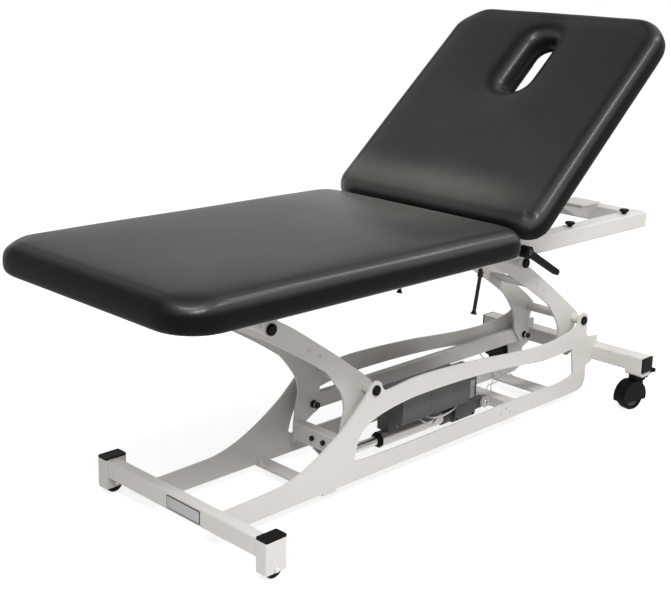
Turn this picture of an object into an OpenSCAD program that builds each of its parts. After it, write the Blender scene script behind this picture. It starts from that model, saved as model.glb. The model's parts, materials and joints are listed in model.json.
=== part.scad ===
// Electric height-adjustable treatment table. A steel base carries two pairs of bell-crank arms,
// kept parallel by a tie bar and raised by a linear actuator. The arms carry a rail frame with a
// long foot section and a back section that lifts on two rod locks.
// Millimetres, +Z up, +X towards the head end, -Y the near side. The origin is on the floor,
// under the middle of the whole length.

/* [Lift] */
// Foot bar's front face to the first arm pivot
pivot_setback = 500; // [490:1:510]
// Distance between the two lower arm pivots, and between the upper ones
pivot_span = 868.5; // [850:0.5:890]
// Second arm pivot to the head bar's front face
head_reach = 56.5; // [55:0.5:60]
// Height of the lower arm pivots above the floor
pivot_z = 245; // [243:1:250]
// Arm length between its two pivots
arm_len = 467.4; // [460:0.2:475]
// Angle of the arms above the horizontal, as drawn
arm_deg = 32.34; // [31:0.1:34]
// Radius of the lower pivot shafts
shaft_r = 8; // [7:0.5:9]
// Radius of the upper pivot pins
pin_r = 6; // [5:0.5:7]

/* [Base] */
// Foot bar tube, along the table
bar_d = 30; // [28:1:34]
// Foot bar tube, height
bar_h = 44; // [40:1:48]
// Half the length of the foot bar tube between its posts
bar_half = 265; // [255:1:275]
// Foot post, along the table
post_d = 57; // [54:1:60]
// Foot post, across the table
post_w = 35; // [33:1:38]
// Radius of the fixed rollers in the foot posts
roller_r = 23; // [22:0.5:24]
// Head bar tube, along the table
head_d = 51; // [48:1:54]
// Head bar tube, height
head_h = 43; // [40:1:45]
// Half the length of the head bar with its caster sockets
head_half = 290; // [285:1:295]
// Outer face of the side plates, from the middle
side_out = 119.5; // [117:0.5:120]
// Thickness of the base's side plates
plate_t = 6; // [5:0.5:7]
// Wall of the steel tubes
wall = 3; // [2:0.5:3.5]

/* [Top] */
// Rail length
rail_len = 1532; // [1515:1:1545]
// Rail width
rail_w = 50; // [46:1:52]
// Rail height
rail_h = 45; // [42:1:48]
// Outer face of the rails, from the middle
rail_out = 188; // [186:1:190]
// Board thickness under the cushions
board_t = 12; // [10:1:15]
// Cushion thickness
pad_t = 62; // [55:1:70]
// Cushion width
pad_w = 690; // [660:1:700]
// Foot cushion length
foot_len = 1009.7; // [990:0.1:1030]
// Back cushion length
back_len = 740; // [725:1:748]
// Angle of the back section above the foot section, as drawn
back_deg = 41; // [38:1:44]
// Width of the breathing slot in the back cushion
slot_w = 100; // [80:1:110]
// Length of the breathing slot
slot_len = 230; // [200:1:240]

/* [Casters] */
// Radius of the caster wheels
wheel_r = 40; // [38:0.5:41]
// Width of the caster wheels
wheel_w = 32; // [28:1:34]
// Turn of the near caster about its stem, 0 is pedal to the head end
near_yaw = -10; // [-30:1:30]
// Turn of the far caster about its stem
far_yaw = 77; // [60:1:85]

/* [Hidden] */

// Overrun of cuts, face gap between moving neighbours, pin running clearance, seated clearance
over = 1;
gap = 0.3;
run = 0.06;
tube_corner = 4;
tube_corner_in = 1.5;
seat = 0.05;

// Colours
paint = [0.80, 0.78, 0.75];
black = [0.07, 0.07, 0.08];
dark = [0.17, 0.17, 0.17];
vinyl = [0.13, 0.13, 0.14];
alu = [0.66, 0.65, 0.63];
steel = [0.72, 0.72, 0.72];
rubber = [0.10, 0.10, 0.10];
grey = [0.45, 0.45, 0.46];
wood = [0.20, 0.19, 0.18];

// Foot end of the base
bar_x = 3;
bar_z = 45;
bar_top = bar_z + bar_h;
post_z = 16;
post_top = 88;
cap_t = 5;
cap_plug = 18;
plug_gap = 0.2;
post_corner = 4;
roller_x = 28.5;
roller_w = 24;
roller_hub_w = 25;
roller_hub_r = 9;
roller_edge = 3;
axle_r = 3.5;
axle_head_r = 6.5;
axle_head_t = 4;
post_mid = bar_half + post_w / 2;
plate_blank_w = 150;
plate_blank_h = 20;
plate_blank_t = 0.6;
plate_blank_y = -40;
plate_blank_z = 68;

// Lift pivots, in the XZ plane
a1 = [pivot_setback, pivot_z];
a2 = [pivot_setback + pivot_span, pivot_z];
arm_dx = -arm_len * cos(arm_deg);
arm_dz = arm_len * sin(arm_deg);
b1 = a1 + [arm_dx, arm_dz];
b2 = a2 + [arm_dx, arm_dz];
crank_dx = -19;
crank_dz = -85;
c1 = a1 + [crank_dx, crank_dz];
c2 = a2 + [crank_dx, crank_dz];
act_dx = -22;
act_drop = 200;
d1 = a1 + [act_dx, -act_drop];

// Head end of the base
head_x = a2[0] + head_reach;
head_z = 114;
head_top = head_z + head_h;
socket_z = 100;
socket_w = 55;
socket_round = 9;
socket_in = head_half - socket_w;
head_cap_t = 5;

// Side plates
plate_z = 31;
plate_rise = pivot_z - plate_z;
plate_in = side_out - plate_t;
ear_r = 23;
tab_len = 23;
tab_rise = 28;
tab_nose = 3;
hole_r = 3;
plate_cap_r = 13;
plate_cap_t = 6;
foot_run = a1[0] - bar_x - bar_d;
step_run = 2;
// Shares of the run from the foot bar to the first pivot, and of the rise to the pivots
foot_top_shares = [[0, 0.25], [0.11, 0.252], [0.23, 0.258], [0.365, 0.272], [0.49, 0.34],
  [0.623, 0.47], [0.774, 0.67], [0.87, 0.845], [0.925, 0.96], [0.962, 1.06]];
// Shares of the pivot span and of the rise
mid_top_shares = [[0.021, 1.06], [0.031, 0.99], [0.048, 0.956], [0.108, 0.978], [0.17, 0.996],
  [0.28, 0.986], [0.436, 0.95], [0.563, 0.902], [0.671, 0.862], [0.76, 0.846], [0.84, 0.85],
  [0.92, 0.89], [0.963, 0.95], [0.979, 1.06]];
// Shares of the reach from the second pivot to the head bar, and of the rise
head_top_shares = [[0.30, 1.06], [0.37, 0.90], [0.36, 0.82], [0.46, 0.77], [0.72, 0.735]];
head_low_shares = [[0.49, 0.326], [0.49, 0.136], [0.29, 0.033], [-0.2, 0]];
// Window outline: shares of the pivot span and of the rise
window_top_shares = [[-0.079, 0.28], [-0.061, 0.49], [-0.032, 0.612], [0.027, 0.693],
  [0.109, 0.744], [0.194, 0.765], [0.373, 0.757], [0.563, 0.715], [0.70, 0.655],
  [0.776, 0.622], [0.88, 0.628], [0.944, 0.643]];
window_low_shares = [[0.958, 0.29], [0.952, 0.262], [0.90, 0.225], [0.853, 0.212],
  [0.677, 0.227], [0.489, 0.218], [0.22, 0.216], [0.078, 0.214], [0, 0.22], [-0.07, 0.235]];
// Bolt holes low in the plates, as shares of the span and of the rise
bolt_hole_shares = [[0.575, 0.10], [0.60, 0.15], [0.62, 0.09]];

// Cross ties under the base
tie_t = 6;
foot_tie_w = 42;
foot_tie_run = 298;
foot_tie_x = bar_x + bar_d + foot_tie_run;
head_tie_w = 60;
head_tie_back = 118.5;
head_tie_x = a2[0] - head_tie_back;
gusset_t = 5;
gusset_h = 21;
gusset_w = 22;

// Lifting arms
arm_out = 83;
arm_t = 6;
arm_in = arm_out - arm_t;
eye_r = 25;
hub_eye_r = 22;
arm_tube_r = 13;
sleeve_out = 112;
arm_foot_end = 430;
// Shares of the arm length along and across the arm
arm_top_shares = [[0, 0.047], [0.03, 0.05], [0.071, 0.055], [0.139, 0.059], [0.304, 0.07],
  [0.45, 0.076], [0.60, 0.081], [0.70, 0.081], [0.80, 0.074], [0.90, 0.061], [0.985, 0.052]];
arm_low_shares = [[0.985, -0.052], [0.92, -0.046], [0.86, -0.044], [0.787, -0.034],
  [0.66, -0.031], [0.503, -0.027], [0.353, -0.03], [0.293, -0.036], [0.195, -0.068],
  [0.141, -0.092], [0.095, -0.13]];
// Lobe below the lower pivot: shares of the drop to the actuator pin
foot_lobe_shares = [[-0.345, -0.25], [-0.385, -0.42], [-0.41, -0.60], [-0.41, -0.85],
  [-0.21, -0.85], [-0.21, -0.62], [-0.06, -0.54], [0.03, -0.44], [0.01, -0.25], [0.05, -0.10],
  [0.09, 0.02]];
head_lobe_shares = [[-0.345, -0.25], [-0.30, -0.36], [-0.215, -0.46], [-0.1, -0.54],
  [0.03, -0.44], [0.01, -0.25], [0.05, -0.10], [0.09, 0.02]];
web_t = 5;
web1_shares = [0.38, 0.52];
web2_shares = [0.80, 0.93];
web_v_share = 0.02;
web_tab = 12;
slot_gap = 0.8;
tab_in_share = 0.03;

// Crank box and the brackets for the actuator pin
box_d = 30;
box_h = 47;
box_back = 77;
box_left = a1[0] - box_back;
box_drop = 167;
box_low = a1[1] - box_drop;
act_y = -2.5;
rod_r = 12;
rod_eye_r = 16;
rod_eye_over = 1;
rod_eye_w = rod_r * 2 + rod_eye_over;
bracket_t = 6;
bracket_r = 18;
bolt_head_r = 7;
bolt_head_t = 5;
bolt_y1 = 17;
bolt_y2 = -22;
bolt_rise = 25;

// Tie bar
tie_gap = 1;
tie_y = arm_out + tie_gap;
tie_w = 20;
tie_h = 42;
tie_over = 25;
tie_wall = 2.5;
tie_nut_r = 10;
tie_nut_t = 5;
tie_washer_t = 3;
tie_end = 14;
tie_end_r = 8.5;
tie_end_t = 6;

// Actuator
act_z = d1[1];
rear_back = 313.5;
rear_x = a2[0] - rear_back;
rear_eye_r = 14;
rear_eye_w = 20;
lug_t = 6;
lug_r = 16;
act_bolt_r = 6;
lug_tube_w = 40;
lug_tube_h = 30;
lug_tube_run = 20;
lug_tube_x = rear_x + lug_tube_run;
lug_tube_z = 28;
gear_back = 150;
gear_x = rear_x - gear_back;
gear_len = 85;
gear_w = 66;
gear_z = 26;
gear_top = 172;
gear_tube_r = 24;
motor_w = 90;
motor_off = -35;
motor_z = 100;
motor_top = 190;
motor_round = 14;
box_foot = 30;
rod_show = 162;
tube_x = d1[0] + rod_show;
motor_len = gear_x - tube_x;
tube_r = 20.5;
collar_len = 16;
collar_r = 22;
rod_depth = 140;
lead_r = 2.5;
lead_thin_r = 1.6;
// Gearbox and rear eye as they stood when the leads' points were chosen
lead_gear_x = 905;
lead_rear_x = 1055;
// Leads on the actuator, from the gearbox to the motor housing
lead_a = [[898, -40, 97], [886, -52, 94], [868, -62, 88], [834, -66, 83], [800, -66, 82],
  [770, -60, 87], [755, -52, 97]];
lead_b = [[725, -50, 97], [738, -58, 88], [756, -62, 74], [780, -60, 64], [800, -48, 62],
  [830, -30, 60], [850, -14, 66]];
// Thin leads on the base, behind the near plate
lead_c = [[1115, 30, 50], [1122, 30, 50], [1138, 42, 52], [1170, 56, 50], [1200, 60, 47], [1225, 60, 52],
  [1234, 60, 66], [1222, 66, 84], [1200, 80, 100], [1180, 96, 120], [1176, 113.5, 140]];
lead_d = [[1115, -10, 36], [1122, -10, 36], [1144, 18, 34], [1168, 50, 34], [1200, 72, 44], [1232, 76, 60],
  [1262, 72, 64], [1282, 66, 51], [1296, 60, 39]];

// Top frame
rail_x = 20;
rail_end = rail_x + rail_len;
rail_in = rail_out - rail_w;
pin_drop = 16;
rail_z = b1[1] + pin_drop;
rail_top = rail_z + rail_h;
tab_t = 8;
tab_r = 18;
top_cap_r = 13;
top_cap_t = 7;
pin_reach = 125;
foot_cross_w = 40;
mid_cross_w = 45;
mid_cross_back = 84.7;
head_cross_w = 52;
shelf_w = 96;
shelf_d = 94;
shelf_h = 10;
shelf_t = 4;
shelf_lip = 5;
shelf_back = 124;
shelf_foot_w = 46;
shelf_x = rail_end - shelf_back;
end_t = 3;
bumper_r = 14;
bumper_neck_r = 6;
bumper_back1 = 352;
bumper_back2 = 82;
bumper_x1 = rail_end - bumper_back1;
bumper_x2 = rail_end - bumper_back2;
spacer_h = 14;
bumper_h = spacer_h - gap;
spacer_d = 40;
spacer_w = 26;
board_z = rail_top + spacer_h;
pad_z = board_z + board_t + gap;
pad_top = pad_z + pad_t;

// Cushion joint
hinge_back = 188.9;
hinge_x = b2[0] - hinge_back;
mid_cross_x = hinge_x - mid_cross_back;
hinge_gap = 10;
hinge_drop = 27.3;
hinge_z = pad_top - hinge_drop;
ear_w = 16;
ear_in = 150;
ear_t = 10;
hinge_r = 4;
barrel_r = 7;
hinge_pin_in = 90;
hinge_head_r = 7;
hinge_head_t = 3;
foot_x = hinge_x - hinge_gap - foot_len;
origin_x = (rail_end + foot_x) / 2;

// Boards and cushions
board_inset = 30;
board_gap = 39.7;
foot_board_end = hinge_x - board_gap;
board_r = 75;
pad_corner = 95;
pad_corner_in = 52;
pad_round = 22;
crown = 7;

// Back section, laid out flat and then turned up about the hinge
back_x = hinge_x + hinge_gap;
board_tuck = 5.3;
back_board_x = back_x + board_tuck;
back_board_len = back_len - board_inset - board_tuck;
leaf_t = 4;
leaf_half = 112;
leaf_foot = 66;
back_tube_y = 60;
back_tube_w = 40;
back_tube_h = 25;
back_tube_run = 70;
back_tube_end = 105;
back_tube_x = back_board_x + back_tube_run;
back_tube_len = back_board_len - back_tube_run - back_tube_end;
slot_end = 95;
slot_x = back_x + back_len - slot_end - slot_len;
slot_flare = 26;
slot_depth = 24;

// Rod locks
lock_y = 130;
q_dx = 74.1;
q_dz = -73.7;
q_flat = [hinge_x + q_dx, hinge_z + q_dz];
q_dir = [cos(back_deg) * q_dx - sin(back_deg) * q_dz, sin(back_deg) * q_dx + cos(back_deg) * q_dz];
q = [hinge_x, hinge_z] + q_dir;
lock_run = 81.3;
lock_x = hinge_x + lock_run;
lock_drop = 21;
lock_z = rail_z - lock_drop;
lock_deg = atan2(q[0] - lock_x, q[1] - lock_z);
lock_len = norm(q - [lock_x, lock_z]);
lock_r = 7.5;
lock_up = 30;
lock_down = 25;
lock_boss_r = 10;
hang_gap = 2;
hang_in = rail_in + hang_gap;
lock_pin_r = 5;
lock_pin_in = 136;
lock_plate_t = 5;
lock_rod_r = 5;
lock_rod_tail = 122;
lock_collar_r = 9;
lock_collar_len = 9;
lock_eye_r = 10;
lock_eye_w = 11.4;
back_bracket_in = 119;
back_bracket_t = 5;
back_bracket_r = 12;

// Release lever
lever_back = 18.6;
lever_rise = 20;
lever_x = b2[0] - lever_back;
lever_z = rail_z + lever_rise;
lever_dx = 130;
lever_dz = -74;
lever_hub_r = 16;
lever_out = 214;
lever_t = 14;
lever_w = 9;
lever_end = 8;
lever_pin_r = 5;
lever_head_t = 3;

// Casters
caster_y = head_half - socket_w / 2;
stem_r = 6;
stem_h = 38;
disc_r = 24;
disc_z = 88;
trail = 25;
wheel_z = wheel_r;
fork_gap = 1.8;
fork_t = 2.8;
fork_over = 6.5;
fork_r = wheel_r + fork_over;
fork_hollow = 3;
fork_in_r = wheel_r + fork_hollow;
fork_foot = 15;
fork_low = 27;
wheel_pin_r = 5;
neck_r = 19;
neck_z = 74;
pedal_x = 31;
pedal_z = 91;
pedal_w = 12;
pedal_pin_r = 2.5;
pedal_ear_t = 3;
pedal_ear_r = 5;
pedal_ear_back = 15;
pedal_rise = 14;
pedal_ring_t = 8;
// Pedal profile from its pin: shares of the reach to the ring and of the rise
pedal_shares = [[-0.15, -0.25], [0.26, -0.32], [0.55, 0.10], [0.79, 0.43], [0.79, 1], [0.55, 0.75],
  [0.32, 0.39], [-0.15, 0.29]];
pedal_ring_r = 10;
pedal_ring_in = 5;
pedal_ring_x = 65;

// Smooth curve through a run of points, n steps between each pair
function blend4(a, b, c, d, t) =
  (b * 2 + (c - a) * t + (a * 2 - b * 5 + c * 4 - d) * t * t + (b * 3 - a - c * 3 + d) * t * t * t) / 2;
function smooth(p, n) = concat(
  [for (i = [0 : len(p) - 2], k = [0 : n - 1])
    blend4(p[max(i - 1, 0)], p[i], p[i + 1], p[min(i + 2, len(p) - 1)], k / n)],
  [p[len(p) - 1]]);
// Points of an arc
function arc(c, r, d0, d1, n) =
  [for (k = [0 : n]) let (d = d0 + (d1 - d0) * k / n) c + [r * cos(d), r * sin(d)]];
// Plan of a slab with round corners
function slab_pts(x0, x1, y0, y1, r, n) = concat(
  arc([x1 - r, y1 - r], r, 0, 90, n), arc([x0 + r, y1 - r], r, 90, 180, n),
  arc([x0 + r, y0 + r], r, 180, 270, n), arc([x1 - r, y0 + r], r, 270, 360, n));
// Shares turned into points from a corner, with a run and a rise
function from_shares(t, x0, z0, run_x, rise) = [for (s = t) [x0 + s[0] * run_x, z0 + s[1] * rise]];
// Shares along and across an arm that starts at point a
function on_arm(t, a) = [for (s = t)
  a + [-cos(arm_deg), sin(arm_deg)] * s[0] * arm_len + [sin(arm_deg), cos(arm_deg)] * s[1] * arm_len];

module place() { translate([-origin_x, 0, 0]) children(); }
module both() {
  children();
  mirror([0, 1, 0]) children();
}
// Plate standing in the XZ plane between y0 and y1
module upright(pts, y0, y1) {
  translate([0, y1, 0]) rotate([90, 0, 0]) linear_extrude(height = y1 - y0) polygon(pts);
}
// Outline in the YZ plane carried from x0 to x1
module along(pts, x0, x1) {
  translate([x0, 0, 0]) rotate([90, 0, 90]) linear_extrude(height = x1 - x0) polygon(pts);
}
module bar_y(c, r, y0, y1, f = 40) {
  translate([c[0], y1, c[1]]) rotate([90, 0, 0]) cylinder(r = r, h = y1 - y0, $fn = f);
}
module bar_up(x, y, r, z0, z1, f = 40) {
  translate([x, y, z0]) cylinder(r = r, h = z1 - z0, $fn = f);
}
module box(x0, x1, y0, y1, z0, z1) {
  translate([x0, y0, z0]) cube([x1 - x0, y1 - y0, z1 - z0]);
}
// Square tube along Y, open at both ends
module tube_y(x0, x1, y0, y1, z0, z1, w) {
  difference() {
    upright(slab_pts(x0, x1, z0, z1, tube_corner, 3), y0, y1);
    upright(slab_pts(x0 + w, x1 - w, z0 + w, z1 - w, tube_corner_in, 2), y0 - over, y1 + over);
  }
}
// Square tube along X, open at both ends
module tube_x(x0, x1, y0, y1, z0, z1, w) {
  difference() {
    along(slab_pts(y0, y1, z0, z1, tube_corner, 3), x0, x1);
    along(slab_pts(y0 + w, y1 - w, z0 + w, z1 - w, tube_corner_in, 2), x0 - over, x1 + over);
  }
}
// Round-headed bolt or cap with a small chamfer, standing out along +Y from y0
module button_y(c, r, y0, t) {
  translate([c[0], y0, c[1]]) rotate([-90, 0, 0]) rotate_extrude($fn = 40)
    polygon([[0, 0], [r, 0], [r, t * 0.6], [r - t * 0.4, t], [0, t]]);
}

// Foot end
module foot_bar() {
  color(paint) place() {
    tube_y(bar_x, bar_x + bar_d, -bar_half, bar_half, bar_z, bar_top, wall);
    box(bar_x - plate_blank_t, bar_x, plate_blank_y - plate_blank_w / 2, plate_blank_y + plate_blank_w / 2,
      plate_blank_z - plate_blank_h / 2, plate_blank_z + plate_blank_h / 2);
  }
}
module foot_posts() {
  color(paint) place() both() difference() {
    translate([0, 0, post_z]) linear_extrude(height = post_top - post_z)
      polygon(slab_pts(0, post_d, bar_half, bar_half + post_w, post_corner, 4));
    box(wall, post_d - wall, bar_half + wall, bar_half + post_w - wall, post_z - over, post_top + over);
    bar_y([roller_x, roller_r], axle_r + seat, bar_half - over, bar_half + post_w + over, 32);
  }
}
module foot_caps() {
  color(black) place() both() {
    translate([0, 0, post_top]) linear_extrude(height = cap_t)
      polygon(slab_pts(0, post_d, bar_half, bar_half + post_w, post_corner, 4));
    box(wall + plug_gap, post_d - wall - plug_gap, bar_half + wall + plug_gap,
      bar_half + post_w - wall - plug_gap, post_top - cap_plug, post_top);
  }
}
module foot_roller(side) {
  color(rubber) place() translate([roller_x, side * post_mid, roller_r]) rotate([90, 0, 0])
    rotate_extrude($fn = 64) polygon([
      [axle_r + run, -roller_hub_w / 2], [roller_hub_r, -roller_hub_w / 2],
      [roller_hub_r, -roller_w / 2], [roller_r - roller_edge, -roller_w / 2],
      [roller_r, roller_edge - roller_w / 2], [roller_r, roller_w / 2 - roller_edge],
      [roller_r - roller_edge, roller_w / 2], [roller_hub_r, roller_w / 2],
      [roller_hub_r, roller_hub_w / 2], [axle_r + run, roller_hub_w / 2]]);
}
module foot_roller_near() { foot_roller(-1); }
module foot_roller_far() { foot_roller(1); }

// Head end
module head_bar() {
  color(paint) place() tube_y(head_x, head_x + head_d, -socket_in, socket_in, head_z, head_top, wall);
}
module caster_sockets() {
  color(paint) place() both() difference() {
    upright(concat([[head_x, head_top]],
      arc([head_x + socket_round, socket_z + socket_round], socket_round, 180, 270, 6),
      arc([head_x + head_d - socket_round, socket_z + socket_round], socket_round, 270, 360, 6),
      [[head_x + head_d, head_top]]), socket_in, head_half);
    bar_up(head_x + head_d / 2, caster_y, stem_r + run, socket_z - over, socket_z + stem_h + step_run);
  }
}
module head_caps() {
  color(black) place() both()
    box(head_x, head_x + head_d, head_half, head_half + head_cap_t, head_z, head_top);
}

// Side plates with their long window, both ears and the tab over the head bar
function plate_outline() = concat(
  smooth(from_shares(foot_top_shares, bar_x + bar_d, plate_z, foot_run, plate_rise), 4),
  smooth(from_shares(mid_top_shares, a1[0], plate_z, pivot_span, plate_rise), 4),
  smooth(from_shares(head_top_shares, a2[0], plate_z, head_reach, plate_rise), 4),
  [[head_x + tab_len - tab_nose, head_top + tab_rise], [head_x + tab_len, head_top + tab_rise - tab_nose],
   [head_x + tab_len, head_top], [head_x, head_top], [head_x, head_z - tab_nose]],
  from_shares(head_low_shares, a2[0], plate_z, head_reach, plate_rise),
  [[bar_x + bar_d, plate_z]]);
module side_plate() {
  difference() {
    union() {
      upright(plate_outline(), plate_in, side_out);
      for (a = [a1, a2]) bar_y(a, ear_r, plate_in, side_out, 64);
    }
    upright(concat(smooth(from_shares(window_top_shares, a1[0], plate_z, pivot_span, plate_rise), 4),
      smooth(from_shares(window_low_shares, a1[0], plate_z, pivot_span, plate_rise), 3)),
      plate_in - over, side_out + over);
    for (a = [a1, a2]) bar_y(a, shaft_r + seat, plate_in - over, side_out + over);
    for (p = from_shares(bolt_hole_shares, a1[0], plate_z, pivot_span, plate_rise))
      bar_y(p, hole_r, plate_in - over, side_out + over, 24);
  }
}
module side_plate_near() { color(paint) place() mirror([0, 1, 0]) side_plate(); }
module side_plate_far() { color(paint) place() side_plate(); }

module base_ties() {
  color(paint) place() {
    box(foot_tie_x, foot_tie_x + foot_tie_w, -side_out, side_out, plate_z - tie_t, plate_z);
    box(head_tie_x, head_tie_x + head_tie_w, -plate_in, plate_in, plate_z, plate_z + tie_t);
    both() for (g = [[foot_tie_x, plate_z], [head_tie_x, plate_z + tie_t]])
      translate([g[0], 0, 0]) rotate([90, 0, 90]) linear_extrude(height = gusset_t)
        polygon([[plate_in, g[1]], [plate_in, g[1] + gusset_h], [plate_in - gusset_w, g[1]]]);
  }
}

// Rear mount of the actuator
module actuator_lugs() {
  color(paint) place() {
    tube_y(lug_tube_x, lug_tube_x + lug_tube_w, -plate_in, plate_in, lug_tube_z, lug_tube_z + lug_tube_h, wall);
    for (s = [-1, 1]) difference() {
      upright(concat([[lug_tube_x, lug_tube_z], [lug_tube_x, lug_tube_z + lug_tube_h]],
        arc([rear_x, act_z], lug_r, 60, 300, 20)),
        act_y + s * (rear_eye_w / 2 + gap + lug_t / 2) - lug_t / 2,
        act_y + s * (rear_eye_w / 2 + gap + lug_t / 2) + lug_t / 2);
      bar_y([rear_x, act_z], act_bolt_r + seat, act_y - motor_w, act_y + motor_w);
    }
  }
}
module base_bolts() {
  lug_out = rear_eye_w / 2 + gap + lug_t;
  color(steel) place() {
    bar_y([rear_x, act_z], act_bolt_r, act_y - lug_out, act_y + lug_out);
    translate([0, act_y + lug_out, 0]) button_y([rear_x, act_z], bolt_head_r + over, 0, bolt_head_t);
    mirror([0, 1, 0]) translate([0, lug_out - act_y, 0]) button_y([rear_x, act_z], bolt_head_r + over, 0, bolt_head_t);
    both() {
      bar_y([roller_x, roller_r], axle_r, bar_half, bar_half + post_w, 32);
      button_y([roller_x, roller_r], axle_head_r, bar_half + post_w, axle_head_t);
    }
  }
}
module pivot_shafts() {
  color(steel) place() for (a = [a1, a2]) bar_y(a, shaft_r, -side_out, side_out);
}
module pivot_caps() {
  color(black) place() both() for (a = [a1, a2]) button_y(a, plate_cap_r, side_out, plate_cap_t);
}

// Lifting arms: profile with the eye at the top pivot, then the crank lobe below the lower pivot
function arm_outline(a, lobe) = concat(
  smooth(on_arm(arm_top_shares, a), 4),
  smooth(on_arm(arm_low_shares, a), 4),
  from_shares(lobe, a[0], a[1], act_drop, act_drop));
module arm_plate(a, b, c, lobe) {
  difference() {
    union() {
      upright(arm_outline(a, lobe), arm_in, arm_out);
      bar_y(b, eye_r, arm_in, arm_out, 64);
      bar_y(a, hub_eye_r, arm_in, arm_out, 64);
      bar_y(c, eye_r, arm_in, arm_out, 64);
    }
    bar_y(a, shaft_r + run, arm_in - over, arm_out + over);
    bar_y(c, pin_r + seat, arm_in - over, arm_out + over);
    web_tabs(a, arm_in - over, arm_out + over, slot_gap);
  }
}
module arm_ties(a, b) {
  both() web_tabs(a, arm_in - over, arm_out, 0);
  difference() {
    union() {
      bar_y(a, arm_tube_r, -arm_in, arm_in, 48);
      bar_y(b, arm_tube_r, -arm_in, arm_in, 48);
      both() {
        bar_y(a, arm_tube_r, arm_out, sleeve_out, 48);
        bar_y(b, arm_tube_r, arm_out, rail_out - tab_t - gap, 48);
      }
    }
    bar_y(a, shaft_r + run, -sleeve_out - over, sleeve_out + over);
    bar_y(b, pin_r + run, -rail_out, rail_out);
  }
  for (w = [web1_shares, web2_shares])
    upright([for (s = [[w[0], 0], [w[1], 0], [w[1], 1], [w[0], 1]])
      on_arm([[s[0], web_v_share]], a)[0] + [sin(arm_deg), cos(arm_deg)] * s[1] * web_t], -arm_in, arm_in);
}
// Tabs of the webs that show through slots in the arm plates, grown by g
module web_tabs(a, y0, y1, g) {
  for (w = [web1_shares, web2_shares], s = [w[0] + tab_in_share, w[1] - tab_in_share])
    upright([for (c = [[-1, -g], [1, -g], [1, web_t + g], [-1, web_t + g]])
      on_arm([[s + c[0] * (web_tab / 2 + g) / arm_len, web_v_share]], a)[0]
        + [sin(arm_deg), cos(arm_deg)] * c[1]], y0, y1);
}
module foot_arm_near() { color(paint) place() mirror([0, 1, 0]) arm_plate(a1, b1, c1, foot_lobe_shares); }
module foot_arm_far() { color(paint) place() arm_plate(a1, b1, c1, foot_lobe_shares); }
module foot_arm_ties() { color(paint) place() arm_ties(a1, b1); }
module head_arm_near() { color(paint) place() mirror([0, 1, 0]) arm_plate(a2, b2, c2, head_lobe_shares); }
module head_arm_far() { color(paint) place() arm_plate(a2, b2, c2, head_lobe_shares); }
module head_arm_ties() { color(paint) place() arm_ties(a2, b2); }

// Crank box between the foot arms, and the brackets that hold the actuator's rod pin
module crank_box() {
  color(paint) place() tube_y(box_left, box_left + box_d, -arm_in, arm_in, box_low, box_low + box_h, wall);
}
module crank_brackets() {
  color(paint) place() for (s = [-1, 1]) {
    y0 = act_y + s * (rod_eye_w / 2 + gap + bracket_t / 2) - bracket_t / 2;
    difference() {
      hull() {
        bar_y(d1, bracket_r, y0, y0 + bracket_t, 32);
        box(box_left, box_left + box_d, y0, y0 + bracket_t, box_low - over, box_low);
      }
      bar_y(d1, act_bolt_r + seat, y0 - over, y0 + bracket_t + over);
    }
  }
}
module crank_head(c, y) {
  translate([c[0], y, c[1]]) rotate([0, -90, 0]) cylinder(r = bolt_head_r, h = bolt_head_t, $fn = 6);
}
module foot_arm_bolts() {
  outer = rod_eye_w / 2 + gap + bracket_t;
  color(steel) place() {
    crank_head([box_left, box_low + bolt_rise], bolt_y1);
    crank_head([box_left, box_low + bolt_rise], bolt_y2);
    tie_bolt(c1);
    for (s = [-1, 1]) {
      y0 = act_y + s * (outer - bracket_t / 2);
      bar_y(d1, act_bolt_r, y0 - bracket_t / 2, y0 + bracket_t / 2);
    }
    translate([0, act_y + outer, 0]) button_y(d1, bolt_head_r + over, 0, bolt_head_t);
    mirror([0, 1, 0]) translate([0, outer - act_y, 0]) button_y(d1, bolt_head_r + over, 0, bolt_head_t);
  }
}
// Bolt of the tie bar: washer and capped end inside the far arm, nut outside the bar
module tie_bolt(c) {
  mirror([0, 1, 0]) translate([0, tie_end - arm_in, 0]) button_y(c, tie_end_r, 0, tie_end_t);
  bar_y(c, tie_nut_r, arm_in - tie_washer_t, arm_in);
  bar_y(c, pin_r, arm_in - tie_end, tie_y + tie_w + gap);
  bar_y(c, tie_nut_r, tie_y + tie_w + gap, tie_y + tie_w + gap + tie_nut_t, 6);
}
module head_arm_bolt() { color(steel) place() tie_bolt(c2); }
module tie_bar() {
  color(paint) place() difference() {
    tube_x(c1[0] - tie_over, c2[0] + tie_over, tie_y, tie_y + tie_w, c1[1] - tie_h / 2, c1[1] + tie_h / 2, tie_wall);
    for (c = [c1, c2]) bar_y(c, pin_r + run, tie_y - over, tie_y + tie_w + over);
  }
}

// Actuator: gearbox with the rear eye, motor and control housing, tube, collar and rod
module bar_x(y, z, r, x0, x1, f = 48) {
  translate([x0, y, z]) rotate([0, 90, 0]) cylinder(r = r, h = x1 - x0, $fn = f);
}
module actuator_gearbox() {
  color(dark) place() {
    difference() {
      union() {
        translate([gear_x, 0, 0]) rotate([90, 0, 90]) linear_extrude(height = gear_len)
          polygon(slab_pts(act_y - gear_w / 2, act_y + gear_w / 2, gear_z, gear_top, motor_round, 5));
        bar_x(act_y, act_z, gear_tube_r, gear_x - box_foot, gear_x + over);
        box(gear_x + gear_len - over, rear_x, act_y - rear_eye_w / 2, act_y + rear_eye_w / 2,
          act_z - rear_eye_r, act_z + rear_eye_r);
        bar_y([rear_x, act_z], rear_eye_r, act_y - rear_eye_w / 2, act_y + rear_eye_w / 2);
      }
      bar_y([rear_x, act_z], act_bolt_r + run, act_y - rear_eye_w, act_y + rear_eye_w);
    }
  }
}
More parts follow.
